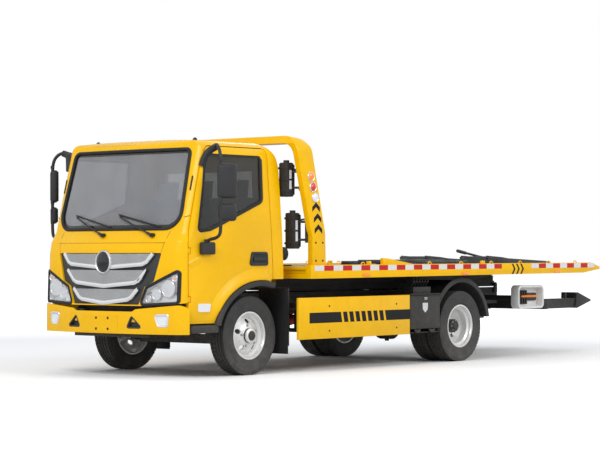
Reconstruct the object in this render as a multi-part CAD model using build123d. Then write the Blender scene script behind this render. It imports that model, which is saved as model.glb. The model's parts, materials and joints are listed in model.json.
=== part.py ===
from build123d import *
from math import cos, radians, sin
import os

# A yellow single-cab flatbed tow truck: tilting cab, sliding and tilting bed, rear underlift.
# Millimetres. The truck faces -Y, +X is its left side, the ground is Z = 0.
# Places along Y are measured from the front axle; save() moves the origin to the middle.

# Wheels and axles
TYRE_RADIUS = 387.5
TYRE_WIDTH = 200
RIM_RADIUS = 226
RIM_WALL = 14
WHEELBASE = 3360
FRONT_TRACK = 1600
DUAL_OUTER_X = 934
DUAL_INNER_X = 699
AXLE_Z = TYRE_RADIUS
HUB_BORE = 25.05
SPINDLE_RADIUS = 25
HUB_RADIUS = 72
KINGPIN_X = 650
KINGPIN_RADIUS = 16
STEER_ARM = 150
RUN_GAP = 0.3
PIN_GAP = 0.1

# Ladder frame
RAIL_OUT = 415
RAIL_WIDTH = 70
RAIL_WEB = 10
RAIL_LOW = 600
RAIL_TOP = 790
RAIL_FRONT = -1000
RAIL_REAR = 4960

# Bumper
BUMPER_FRONT = -1147
BUMPER_LOW = 427
BUMPER_TOP = 640
BUMPER_WALL = 18
BUMPER_END = -945
LAMP_RECESS = 12
BUMPER_HALF = 985

# Cab
CAB_WALL = 40
CAB_REAR = 400
CAB_TOP = 2306
CAB_HALF = 975
BELT_Z = 1409
DOOR_FRONT = -930
DOOR_REAR = 245
DOOR_TOP = 2235
DOOR_LOW = 518
DOOR_GAP = 9
GLASS = 6
CAB_PIVOT_Y = -1055
CAB_PIVOT_Z = 600
FLOOR_Z = 900
FOOT_Z = 800
ARCH_Y = 50
ARCH_RADIUS_Y = 660
ARCH_RADIUS_Z = 535
ARCH_REAR = 262
HINGE_X = 928
HINGE_Y = -905
HINGE_HEIGHTS = [760, 1220]
CAB_LOW = 695                                         # lower edge of the cab's front, in the middle

# Bed and its tilting frame
TILT_Y = 4900
TILT_Z = 820
BED_FRONT = 630
BED_HALF = 1150
SIDE_RAIL_LOW = 940
SIDE_RAIL_TOP = 1077
SIDE_RAIL_WIDTH = 70
DECK_TOP = 1060
DECK_THICK = 30
TAIL_KNEE_LOW = 5700
TAIL_KNEE_TOP = 5857
TAIL_TIP = 6060
TAIL_TIP_Z = 1000
SLIDE_GAP = 0.5
TILT_RAIL_OUT = 400
TILT_RAIL_WIDTH = 60
TILT_RAIL_LOW = 800
TILT_RAIL_TOP = 925
GANTRY_OUT = 1130
GANTRY_WIDTH = 60
GANTRY_TOP = 2367

# Side gear
SKIRT_X = 1100
SKIRT_WALL = 30
SKIRT_FRONT = 500
SKIRT_LOW = 333
SKIRT_TOP = 750
BOX_REAR = WHEELBASE - 483
SKIRT_REAR = BOX_REAR - 542
BOX_DEEP = 420
BOX_WALL = 8
LID_THICK = 20
LAMP_BOX_X = 930
GUARD_X = 560
GUARD_RADIUS = 505

# Underlift
BOOM_Y = 4100
BOOM_Z = 610
BOOM_SIZE = 130
BOOM_WALL = 12
CROSS_Y = 5230
FORK_X = 800
FORK_END = 6310
FORK_LOW = 525


def block(x, y, z):
    """A box from three (low, high) pairs."""
    size = Box(x[1] - x[0], y[1] - y[0], z[1] - z[0])
    return Pos((x[0] + x[1]) / 2, (y[0] + y[1]) / 2, (z[0] + z[1]) / 2) * size


def along(start, end, radius):
    """A round bar between two points."""
    a, b = Vector(*start), Vector(*end)
    plane = Plane(origin=a, z_dir=b - a)
    return extrude(plane * Circle(radius), amount=(b - a).length)


def side_shape(points, x0, x1):
    """An outline of (Y, Z) points made solid from x0 to x1."""
    return side_cut(make_face(Polyline(*points, close=True)), x0, x1)


def rounded(corners):
    """A face from (across, up, radius) corners."""
    return make_face(FilletPolyline(*[(across, up) for across, up, radius in corners],
                                    radius=[radius for across, up, radius in corners], close=True))


def mirrored(corners):
    """The corners of a right half, top to bottom, and their mirror images."""
    return corners + [(-across, up, radius) for across, up, radius in reversed(corners)]


def both(shape):
    """The shape and its mirror image on the other side."""
    return Compound(children=[shape, mirror(shape, about=Plane.YZ)])


def fused(*shapes):
    total = shapes[0]
    for shape in shapes[1:]:
        total = total + shape
    return total


def flipped(shape, side):
    """The left-hand shape for side 1, its mirror image for side -1."""
    return shape if side > 0 else mirror(shape, about=Plane.YZ)


# Wheels

def tyre(x):
    """A road tyre about the X axis, centred at x on the axle line."""
    half = TYRE_WIDTH / 2
    bead = RIM_RADIUS + 0.2
    outline = [(bead, -half + 28), (RIM_RADIUS + 70, -half), (TYRE_RADIUS - 42, -half + 6),
               (TYRE_RADIUS, -half + 32), (TYRE_RADIUS, half - 32), (TYRE_RADIUS - 42, half - 6),
               (RIM_RADIUS + 70, half), (bead, half - 28)]
    return disc([(x + w, r) for r, w in outline])


def rim_ring(x):
    """Flanges, bead seats and drop centre of one rim."""
    seat, well, wall = RIM_RADIUS, RIM_RADIUS - 24, RIM_WALL
    upper = [(seat + 10, -88), (seat + 10, -79), (seat, -78), (seat, -56), (well, -40)]
    lower = [(well - wall, -36), (seat - wall, -52), (seat - wall, -70), (seat - 4, -88)]
    far_side = [(r, -w) for r, w in reversed(upper)] + [(r, -w) for r, w in reversed(lower)]
    return disc([(x + w, r) for r, w in upper + far_side + lower])


def disc(profile):
    """A turned disc from (X, radius) points of its outline."""
    return revolve(make_face(Polyline(*profile, close=True)), axis=Axis.X)


def hand_holes(count, ring, radius, x):
    return [Rot(turn * 360 / count, 0, 0) * (Pos(x, 0, ring) * (Rot(0, 90, 0) * Cylinder(radius, 200)))
            for turn in range(count)]


def front_rim(x):
    """A dished-out disc wheel with its hub, on a spindle of SPINDLE_RADIUS."""
    ring = rim_ring(x)
    seat = RIM_RADIUS - 24 - RIM_WALL / 2
    shell = disc([(x + 10, seat), (x + 62, seat - 60), (x + 78, 110), (x + 78, HUB_RADIUS - 4),
                  (x + 66, HUB_RADIUS - 4), (x + 66, 104), (x + 50, seat - 66), (x - 2, seat)])
    for hole in hand_holes(5, 142, 24, x + 60):
        shell = shell - hole
    hub = disc([(x - 60, HUB_BORE), (x - 60, 60), (x + 60, HUB_RADIUS), (x + 110, HUB_RADIUS),
                (x + 116, 60), (x + 116, 0), (x + 104, 0), (x + 104, HUB_BORE)])
    return fused(ring, shell, hub)


def rear_rim(side):
    """Two rims with a deep dish between them and one hub."""
    outer, inner = DUAL_OUTER_X, DUAL_INNER_X
    middle = (outer + inner) / 2
    seat = RIM_RADIUS - 24 - RIM_WALL / 2
    web = disc([(outer - 36, seat), (middle + 14, seat - 40), (middle + 14, HUB_RADIUS - 4),
                (middle - 14, HUB_RADIUS - 4), (middle - 14, seat - 40), (inner + 36, seat),
                (inner + 24, seat), (middle - 28, seat - 50), (middle - 28, HUB_RADIUS - 12),
                (middle + 28, HUB_RADIUS - 12), (middle + 28, seat - 50), (outer - 24, seat)])
    for hole in hand_holes(5, 134, 22, middle):
        web = web - hole
    hub = disc([(inner - 20, HUB_BORE), (inner - 20, 66), (middle + 110, HUB_RADIUS),
                (middle + 130, HUB_RADIUS - 12), (middle + 130, 0), (middle + 118, 0),
                (middle + 118, HUB_BORE)])
    return flipped(fused(rim_ring(outer), rim_ring(inner), web, hub), side)


# Axles and steering

def leaf_pack(x, base_y, base_z, half, rise):
    """Three curved leaves over an axle, with eyes and hangers under the rail."""
    leaf, width = 14, RAIL_WIDTH
    pack = None
    for count in range(3):
        reach = half * (1 - 0.27 * count)
        lift = rise * (reach / half) ** 2
        top = [(base_y - reach, base_z + lift), (base_y, base_z), (base_y + reach, base_z + lift)]
        drop = leaf * count
        upper = ThreePointArc(*[(y, z - drop) for y, z in top])
        lower = ThreePointArc(*[(y, z - drop - leaf - 1) for y, z in top])
        sides = [Line(upper @ 0, lower @ 0), Line(upper @ 1, lower @ 1)]
        band = side_cut(make_face([upper, lower] + sides), x - width / 2, x + width / 2)
        pack = band if pack is None else pack + band
    for end in (-half, half):
        eye = Pos(x, base_y + end, base_z + rise) * (Rot(0, 90, 0) * Cylinder(24, width))
        hanger = block((x - width / 2, x + width / 2), (base_y + end - 22, base_y + end + 22),
                       (base_z + rise, RAIL_LOW))
        pack = fused(pack, eye, hanger)
    seat = block((x - width / 2, x + width / 2), (base_y - 55, base_y + 55),
                 (AXLE_Z - 30, base_z - 5))
    return pack + seat


def front_axle():
    beam = block((-560, 560), (-34, 34), (295, 370))
    beam = beam + block((-345 - RAIL_WIDTH, 345 + RAIL_WIDTH), (-50, 50), (300, AXLE_Z))
    eye = Pos(KINGPIN_X, 0, AXLE_Z) * Cylinder(40, 96)
    bore = Pos(KINGPIN_X, 0, AXLE_Z) * Cylinder(KINGPIN_RADIUS + PIN_GAP / 2, 300)
    riser = side_shape([(-30, 295), (30, 295), (30, 430), (-30, 430)], 530, KINGPIN_X)
    beam = fused(beam, riser, mirror(riser, about=Plane.YZ), eye, mirror(eye, about=Plane.YZ))
    beam = beam - bore - mirror(bore, about=Plane.YZ)
    pack = leaf_pack(RAIL_OUT - RAIL_WIDTH / 2, 0, 450, 600, 110)
    beam = beam - block((590, 720), (-60, 60), (AXLE_Z + 48, 600))
    beam = beam - block((-720, -590), (-60, 60), (AXLE_Z + 48, 600))
    beam = beam - block((590, 720), (-60, 60), (200, AXLE_Z - 48))
    beam = beam - block((-720, -590), (-60, 60), (200, AXLE_Z - 48))
    return fused(beam, pack, mirror(pack, about=Plane.YZ))


def knuckle(side):
    """Yoke, kingpin, spindle and steering arm of one front wheel."""
    low, high = AXLE_Z - 48 - RUN_GAP, AXLE_Z + 48 + RUN_GAP
    ears = fused(block((KINGPIN_X - 36, KINGPIN_X + 66), (-36, 36), (high, high + 26)),
                 block((KINGPIN_X - 36, KINGPIN_X + 66), (-36, 36), (low - 26, low)))
    back = block((KINGPIN_X + 46, KINGPIN_X + 66), (-36, 36), (low - 26, high + 26))
    pin = Pos(KINGPIN_X, 0, AXLE_Z) * Cylinder(KINGPIN_RADIUS, high - low + 40)
    spindle = along((KINGPIN_X + 50, 0, AXLE_Z), (FRONT_TRACK / 2 + 100, 0, AXLE_Z), SPINDLE_RADIUS)
    arm = block((KINGPIN_X - 20, KINGPIN_X + 20), (0, STEER_ARM + 20), (low - 26, low - 10))
    return flipped(fused(ears, back, pin, spindle, arm), side)


def tie_rod():
    """The rod between the steering arms, just under their ends."""
    top = AXLE_Z - 48 - RUN_GAP - 26 - RUN_GAP
    ends = both(Pos(KINGPIN_X, STEER_ARM, top - 15) * Cylinder(20, 30))
    rod = along((-KINGPIN_X, STEER_ARM, top - 15), (KINGPIN_X, STEER_ARM, top - 15), 13)
    return fused(rod, *ends.children)


def rear_axle():
    y = WHEELBASE
    tube = along((-560, y, AXLE_Z), (560, y, AXLE_Z), 58)
    case = Pos(0, y, AXLE_Z) * (Rot(0, 90, 0) * Cylinder(170, 150))
    cover = Pos(0, y, AXLE_Z) * (Rot(0, 90, 0) * Cylinder(120, 250))
    drain = Pos(0, y, AXLE_Z - 175) * Cylinder(24, 30)
    nose = along((0, y - 260, AXLE_Z + 20), (0, y, AXLE_Z + 20), 70)
    ends = along((-DUAL_OUTER_X, y, AXLE_Z), (DUAL_OUTER_X, y, AXLE_Z), SPINDLE_RADIUS)
    pack = leaf_pack(RAIL_OUT - RAIL_WIDTH / 2, y, 500, 640, 70)
    seat = block((RAIL_OUT - RAIL_WIDTH, RAIL_OUT), (y - 60, y + 60), (AXLE_Z - 40, 470))
    pack = pack + seat
    return fused(tube, case, cover, drain, nose, ends, pack, mirror(pack, about=Plane.YZ))


# Frame, power unit and what hangs on the frame

def rail():
    """One C-section rail, open towards the middle."""
    x0, x1 = RAIL_OUT - RAIL_WIDTH, RAIL_OUT
    solid = block((x0, x1), (RAIL_FRONT, RAIL_REAR), (RAIL_LOW, RAIL_TOP))
    return solid - block((x0 - 1, x1 - RAIL_WEB), (RAIL_FRONT - 1, RAIL_REAR + 1),
                         (RAIL_LOW + RAIL_WEB, RAIL_TOP - RAIL_WEB))


CROSSMEMBERS = [-960, 560, 1180, 2960, 3900]          # Y of each one's middle
OUTRIGGERS = [700, 1500, 2200]                        # Y of each side-guard bracket
TILT_LUG_X = 220
LOW_CROSSMEMBER = 2960                                # the tilt rams pass over this one
TILT_PIN = (1300, 460)                                # Y, Z of the tilt rams' lower pin
TILT_EYE = (3300, 800)                                # Y, Z where they meet the tilting frame
LIFT_LUG_X = 240
LIFT_PIN = (4620, 730)                                # Y, Z of the lift rams' upper pin
RAM_PIN_RADIUS = 14
TILT_RAM = 42                                         # barrel radii
LIFT_RAM = 34
LUG = 16


def lug_places(x, barrel):
    """Low X of the two ears that hold a ram's eye."""
    return x - barrel - 3 - LUG, x + barrel + 3


def lug_ear(x0, pin, y_pair, z_pair, slack):
    """One ear with its pin hole."""
    ear = block((x0, x0 + LUG), y_pair, z_pair)
    return ear - Pos(x0, *pin) * (Rot(0, 90, 0) * Cylinder(RAM_PIN_RADIUS + PIN_GAP + slack, 60))


def pivot_hole(x, y, z):
    return Pos(x, y, z) * (Rot(0, 90, 0) * Cylinder(RAM_PIN_RADIUS + PIN_GAP, 60))


def chassis_frame():
    """The two rails with the ears of the cab's front pivot and of the bed's rear hinge."""
    horn = block((RAIL_OUT - RAIL_WIDTH, RAIL_OUT), (-1060, RAIL_FRONT + 10), (520, RAIL_LOW + 60))
    cab_ear = block((RAIL_OUT + 6, RAIL_OUT + 22), (CAB_PIVOT_Y - 28, -960), (572, 628))
    cab_ear = cab_ear + block((RAIL_OUT - 5, RAIL_OUT + 22), (RAIL_FRONT, -960), (RAIL_LOW + 10, 628))
    cab_ear = cab_ear - pivot_hole(RAIL_OUT + 14, CAB_PIVOT_Y, CAB_PIVOT_Z)
    tilt_ear = Pos(RAIL_OUT + 15, TILT_Y, TILT_Z) * (Rot(0, 90, 0) * Cylinder(28, 20))
    tilt_ear = tilt_ear + block((RAIL_OUT + 5, RAIL_OUT + 25), (TILT_Y - 28, TILT_Y + 28),
                                (RAIL_TOP - 60, TILT_Z))
    tilt_ear = tilt_ear + block((RAIL_OUT - 5, RAIL_OUT + 10), (TILT_Y - 28, TILT_Y + 28),
                                (RAIL_TOP - 60, RAIL_TOP - 10))
    tilt_ear = tilt_ear - pivot_hole(RAIL_OUT + 15, TILT_Y, TILT_Z)
    return both(fused(rail(), horn, cab_ear, tilt_ear))


def crossmembers():
    """What joins the rails, with the lugs of both pairs of rams and the boom's cheeks."""
    inner = RAIL_OUT - RAIL_WEB
    members = {y: block((-inner, inner), (y - 30, y + 30), (RAIL_LOW + 20, RAIL_TOP - 20))
               for y in CROSSMEMBERS}
    members[LOW_CROSSMEMBER] = block((-inner, inner), (LOW_CROSSMEMBER - 30, LOW_CROSSMEMBER + 30),
                                     (RAIL_LOW + RAIL_WEB, RAIL_LOW + 80))
    y, z = TILT_PIN
    tube = block((-inner, inner), (y - 30, y + 30), (z - 90, z - 50))
    drop = block((RAIL_OUT - 30, RAIL_OUT), (y - 30, y + 30), (z - 90, RAIL_LOW))
    tube = fused(tube, drop, mirror(drop, about=Plane.YZ))
    rear = block((-inner, inner), (4520, 4560), (RAIL_LOW + 90, RAIL_TOP - 20))
    for side in (1, -1):
        for x0 in lug_places(TILT_LUG_X, TILT_RAM):
            tube = tube + flipped(lug_ear(x0, TILT_PIN, (y - 28, y + 28), (z - 60, z + 28), 0), side)
        for x0 in lug_places(LIFT_LUG_X, LIFT_RAM):
            ear = lug_ear(x0, LIFT_PIN, (4540, LIFT_PIN[0] + 28), (LIFT_PIN[1] - 28, LIFT_PIN[1] + 28), 0)
            rear = rear + flipped(ear, side)
    last = CROSSMEMBERS[-1]
    for x0 in (-BOOM_SIZE / 2 - 25, BOOM_SIZE / 2 + 5):
        cheek = side_shape([(last + 30, RAIL_TOP - 20), (last + 30, RAIL_LOW + 20), (BOOM_Y - 60, BOOM_Z - 60),
                            (BOOM_Y + 45, BOOM_Z - 60), (BOOM_Y + 45, BOOM_Z + 50),
                            (last + 90, RAIL_TOP - 20)], x0, x0 + 20)
        cheek = cheek - Pos(x0, BOOM_Y, BOOM_Z) * (Rot(0, 90, 0) * Cylinder(22 + PIN_GAP, 90))
        members[last] = members[last] + cheek
    return list(members.values()) + [tube, rear]


def frame_brackets():
    """Arms from the rails out to the side guards, tool box, lamp boxes and mudguards."""
    reaches = [(y, 25, SKIRT_X - SKIRT_WALL) for y in OUTRIGGERS]
    reaches += [(BOX_REAR - 257, 20, SKIRT_X - BOX_DEEP), (4700, 20, LAMP_BOX_X)]
    arms = [block((RAIL_OUT, reach), (y - half, y + half), (640, 700)) for y, half, reach in reaches]
    stay = fused(
        block((RAIL_OUT, GUARD_X), (WHEELBASE - 20, WHEELBASE + 20), (735, 775)),
        block((GUARD_X - 15, GUARD_X), (WHEELBASE - 20, WHEELBASE + 20), (735, AXLE_Z + GUARD_RADIUS)))
    return [both(arm) for arm in arms + [stay]]


def power_unit():
    engine = block((-270, 270), (-420, 430), (430, 860))
    gearbox = block((-150, 150), (430, 1000), (430, 605))
    ears = block((-RAIL_OUT + RAIL_WEB, RAIL_OUT - RAIL_WEB), (-40, 40), (640, 700))
    shaft_start = (0, 1000, 540)
    shaft_end = (0, WHEELBASE - 260, AXLE_Z + 20)
    shaft = along(shaft_start, shaft_end, 42) & block((-60, 60), (990, WHEELBASE - 260), (300, 700))
    return fused(engine, gearbox, ears, shaft)


def bumper():
    """A curved front panel with side returns and its lamp and intake recesses."""
    half = BUMPER_HALF
    outer = make_face([
        ThreePointArc((-800, -1065), (0, BUMPER_FRONT), (800, -1065)),
        ThreePointArc((800, -1065), (915, -1020), (half, -900)),
        Line((half, -900), (-half, -900)),
        ThreePointArc((-half, -900), (-915, -1020), (-800, -1065))])
    inner = offset(outer, amount=-BUMPER_WALL)
    shell = extrude(Pos(0, 0, BUMPER_LOW) * outer, amount=BUMPER_TOP + 80 - BUMPER_LOW)
    shell = shell - extrude(Pos(0, 0, BUMPER_LOW - 5) * inner, amount=400)
    shell = shell - block((-1100, 1100), (BUMPER_END, -800), (300, 900))
    # the top edge dips between the headlamps
    dip = rounded(mirrored([(1100, BUMPER_TOP + 90, 0), (1100, BUMPER_TOP - 60, 0), (915, BUMPER_TOP + 66, 60),
                            (430, BUMPER_TOP + 24, 12), (385, BUMPER_TOP, 12)]))
    shell = shell - front_cut(dip, -1300, -800)
    behind_recess = extrude(Pos(0, 0, BUMPER_LOW) * offset(outer, amount=-LAMP_RECESS), amount=400)
    for side in (1, -1):
        lamp = rounded([(side * x, z, 16) for x, z in ((688, 500), (796, 500), (808, 617), (648, 612))])
        vent = rounded([(side * x, z, 8) for x, z in ((325, 488), (500, 488), (380, 592))])
        shell = shell - (front_cut(lamp, -1300, -900) - behind_recess)
        shell = shell - front_cut(vent, -1300, -900)
        # brackets back to the frame's front horns
        shell = shell + flipped(block((RAIL_OUT - RAIL_WIDTH, RAIL_OUT), (-1110, -1060), (540, 600)), side)
    for x, z in ((-80, 470), (80, 470), (-80, 575), (80, 575)):
        shell = shell - Pos(x, BUMPER_FRONT + 20, z) * (Rot(90, 0, 0) * Cylinder(4.5, 120))
    return shell


def side_guard(side):
    panel = block((SKIRT_X - SKIRT_WALL, SKIRT_X), (SKIRT_FRONT, SKIRT_REAR), (SKIRT_LOW, SKIRT_TOP))
    rear = 0 if side > 0 else 1
    if rear:
        panel = block((SKIRT_X - SKIRT_WALL, SKIRT_X), (SKIRT_FRONT, BOX_REAR), (SKIRT_LOW, SKIRT_TOP))
    return flipped(panel, side)


def tool_box():
    """An open-sided locker between the side guard and the rear wheels."""
    x1 = SKIRT_X - LID_THICK - 2
    x0 = SKIRT_X - BOX_DEEP
    box = block((x0, x1), (SKIRT_REAR + 3, BOX_REAR), (SKIRT_LOW + 7, SKIRT_TOP + 10))
    hollow = block((x0 + BOX_WALL, x1 + 5), (SKIRT_REAR + 3 + BOX_WALL, BOX_REAR - BOX_WALL),
                   (SKIRT_LOW + 7 + BOX_WALL, SKIRT_TOP + 10 - BOX_WALL))
    lip = block((x1 - 5, SKIRT_X + 6), (SKIRT_REAR + 3, BOX_REAR), (SKIRT_TOP - 4, SKIRT_TOP + 10))
    ledge = fused(*[
        block((x1 - 10, SKIRT_X - 2), (y - 30, y + 30), (SKIRT_LOW + 7, SKIRT_LOW + 15)) +
        block((LID_HINGE_X - 14, LID_HINGE_X + 10), (y - 30, y + 30), (SKIRT_LOW + 7, LID_HINGE_Z + 12))
        for y in LID_HINGES])
    pins = fused(*[along((LID_HINGE_X, y - 40, LID_HINGE_Z), (LID_HINGE_X, y + 40, LID_HINGE_Z), 6 + PIN_GAP)
                   for y in LID_HINGES])
    return fused(box - hollow, lip, ledge) - pins


LID_HINGES = [SKIRT_REAR + 145, BOX_REAR - 137]
LID_HINGE_X = SKIRT_X - 12
LID_HINGE_Z = SKIRT_LOW + 30


def tool_box_lid():
    """A drop-down door on two pins along its lower edge."""
    y0, y1 = SKIRT_REAR + 8, BOX_REAR - 5
    z0 = LID_HINGE_Z + 22
    panel = block((SKIRT_X - LID_THICK, SKIRT_X), (y0, y1), (z0, SKIRT_TOP - 10))
    for y in LID_HINGES:
        for end in (y - 50, y + 31):
            lug = block((LID_HINGE_X - 8, LID_HINGE_X + 8), (end, end + 19), (LID_HINGE_Z - 8, z0 + 5))
            panel = panel + lug
        panel = panel + along((LID_HINGE_X, y - 40, LID_HINGE_Z), (LID_HINGE_X, y + 40, LID_HINGE_Z), 6)
    return panel


def fuel_tank():
    tank = block((-960, -520), (900, 2050), (360, 640))
    return fillet(tank.edges().filter_by(Axis.Y), 50)


def mudguards():
    """Arched guards over the twin rear wheels, and the flaps behind the front ones."""
    width = 490
    middle = GUARD_X + width / 2
    shapes = []
    for side in (1, -1):
        ring = Rot(0, 90, 0) * (Cylinder(GUARD_RADIUS, width) - Cylinder(GUARD_RADIUS - 12, width + 20))
        lip = Pos(width / 2 - 10, 0, 0) * (Rot(0, 90, 0) * (Cylinder(532, 20) - Cylinder(478, 60)))
        guard = Pos(middle, WHEELBASE, AXLE_Z + 4) * (ring + lip)
        sector = side_shape([(-455, 1100), (-455, 640), (-300, 560), (300, 480), (620, 480), (620, 1100)],
                            0, 1200)
        shapes.append(flipped(guard & (Pos(0, WHEELBASE, 0) * sector), side))
        flap = block((560, 960), (505, 520), (270, 850))
        stay = block((RAIL_OUT, 570), (505, 530), (640, 700))
        shapes.append(flipped(flap + stay, side))
    return Compound(children=shapes)


def lamp_boxes():
    """Open rounded boxes for the rear lamps, facing sideways behind the mudguards."""
    outer = block((LAMP_BOX_X, 1035), (4490, 5020), (550, 820))
    outer = fillet(outer.edges().filter_by(Axis.X), 60)
    hollow = block((LAMP_BOX_X + 15, 1040), (4515, 4995), (575, 795))
    hollow = fillet(hollow.edges().filter_by(Axis.X), 45)
    return both(outer - hollow)


def valve_bank():
    """Hand levers of the bed's hydraulics, on the tool box."""
    body = block((930, 1060), (SKIRT_REAR + 115, SKIRT_REAR + 425), (SKIRT_TOP + 10, SKIRT_TOP + 80))
    for count in range(6):
        y = SKIRT_REAR + 145 + 50 * count
        body = body + along((1000, y, SKIRT_TOP + 70), (1040, y, SKIRT_TOP + 135), 6)
        body = body + Pos(1041, y, SKIRT_TOP + 138) * Sphere(14)
    return body


# Cab

# Z and Y of the nose's middle, from its foot to above the roof
NOSE = [(500, -1130), (1196, -1104), (1307, -1082), (BELT_Z, -1016), (CAB_TOP + 60, -715)]


NOSE_SAG = 78                                         # how far the nose falls back at its corners
TOP_SAG = 32                                          # the same at the roof


def nose_outline(inset, sag=NOSE_SAG):
    """The cab seen from above with the nose's middle at the origin."""
    half = CAB_HALF
    face = make_face([
        ThreePointArc((-815, sag), (0, 0), (815, sag)),
        ThreePointArc((815, sag), (895, sag + 30), (935, sag + 87)),
        Line((935, sag + 87), (half, 620)), Line((half, 620), (half + 20, 1900)),
        Line((half + 20, 1900), (-half - 20, 1900)), Line((-half - 20, 1900), (-half, 620)),
        Line((-half, 620), (-935, sag + 87)),
        ThreePointArc((-935, sag + 87), (-895, sag + 30), (-815, sag))])
    return offset(face, amount=-inset) if inset else face


def cab_forms(inset):
    """Three solids whose common part is the cab's form, inset by a wall's thickness or by 0."""
    face = nose_outline(inset)
    nose = None
    for (z0, y0), (z1, y1) in zip(NOSE[:-2], NOSE[1:-1]):
        lean = Vector(0, y1 - y0, z1 - z0)
        part = extrude(Pos(0, y0, z0) * face, amount=lean.length, dir=lean)
        nose = part if nose is None else nose + part
    (z0, y0), (z1, y1) = NOSE[-2:]
    top = nose_outline(inset, TOP_SAG)
    nose = nose + loft([(Pos(0, y0, z0) * face).face(), (Pos(0, y1, z1) * top).face()], ruled=True)
    front = make_face([
        Polyline((-985, 400), (-985, 1050), (-968, BELT_Z), (-915, 2110)),
        ThreePointArc((-915, 2110), (-868, 2240), (-740, 2286)),
        ThreePointArc((-740, 2286), (0, CAB_TOP), (740, 2286)),
        ThreePointArc((740, 2286), (868, 2240), (915, 2110)),
        Polyline((915, 2110), (968, BELT_Z), (985, 1050), (985, 400)),
        Line((985, 400), (-985, 400))])
    side = make_face([
        Polyline((-1300, 400), (-1300, 1900), (-790, 2120)),
        ThreePointArc((-790, 2120), (-730, 2262), (-590, 2300)),
        Line((-590, 2300), (60, 2292)),
        ThreePointArc((60, 2292), (310, 2215), (CAB_REAR, 2010)),
        Polyline((CAB_REAR, 2010), (CAB_REAR, 400), (-1300, 400))])
    if inset:
        front = offset(front, amount=-inset)
        side = offset(side, amount=-inset)
    return front_cut(front, -1400, 600), side_cut(side, -1100, 1100), nose


def arch_cut(grow, x0, x1):
    """The front wheel arch, wider than it is high, as a solid to cut with."""
    face = Ellipse(ARCH_RADIUS_Y + grow, ARCH_RADIUS_Z + grow)
    return side_cut(Pos(ARCH_Y, AXLE_Z) * face, x0, x1)


def door_outline(gap):
    """The door's (Y, Z) outline, shrunk by gap, as a face."""
    face = rounded([(DOOR_FRONT, DOOR_LOW, 0), (DOOR_FRONT, 1290, 0), (-735, 2040, 120), (-660, DOOR_TOP, 130),
                    (DOOR_REAR - 5, DOOR_TOP, 65), (DOOR_REAR, FLOOR_Z + 30, 0),
                    (ARCH_Y, FLOOR_Z + 30, 0), (ARCH_Y, DOOR_LOW, 0)])
    return offset(face, amount=-gap) if gap else face


def window_outline(gap):
    """The door window: its sill rises to the rear."""
    face = rounded([(-797, 1400, 35), (-640, 1418, 60), (128, 1702, 60), (146, 2155, 40), (-625, 2155, 60),
                    (-690, 2040, 80)])
    return offset(face, amount=-gap) if gap else face


def side_cut(face, x0, x1):
    """A (Y, Z) face as a solid between two X planes."""
    return extrude(Plane.YZ.offset(x0) * face, amount=x1 - x0, dir=(1, 0, 0))


def windshield_outline(gap):
    """The windshield opening seen from the front, (X, Z)."""
    face = rounded(mirrored([(798, 2205, 65), (838, 1425, 170)]))
    return offset(face, amount=-gap) if gap else face


def front_cut(face, y0, y1):
    """An (X, Z) face as a solid between two Y planes."""
    return extrude(Plane.XZ.offset(-y0) * face, amount=y1 - y0, dir=(0, 1, 0))


def grille_outline(gap):
    """The grille opening: wide at the top, stepped in beside the lamps, (X, Z)."""
    face = rounded(mirrored([(700, 1200, 12), (622, 930, 30), (516, 878, 12), (447, 706, 12)]))
    return offset(face, amount=-gap) if gap else face


def lamp_outline(side, gap):
    face = rounded([(side * x, z, 10) for x, z in ((462, 702), (897, 723), (900, 1036), (534, 872))])
    return offset(face, amount=-gap) if gap else face


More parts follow.
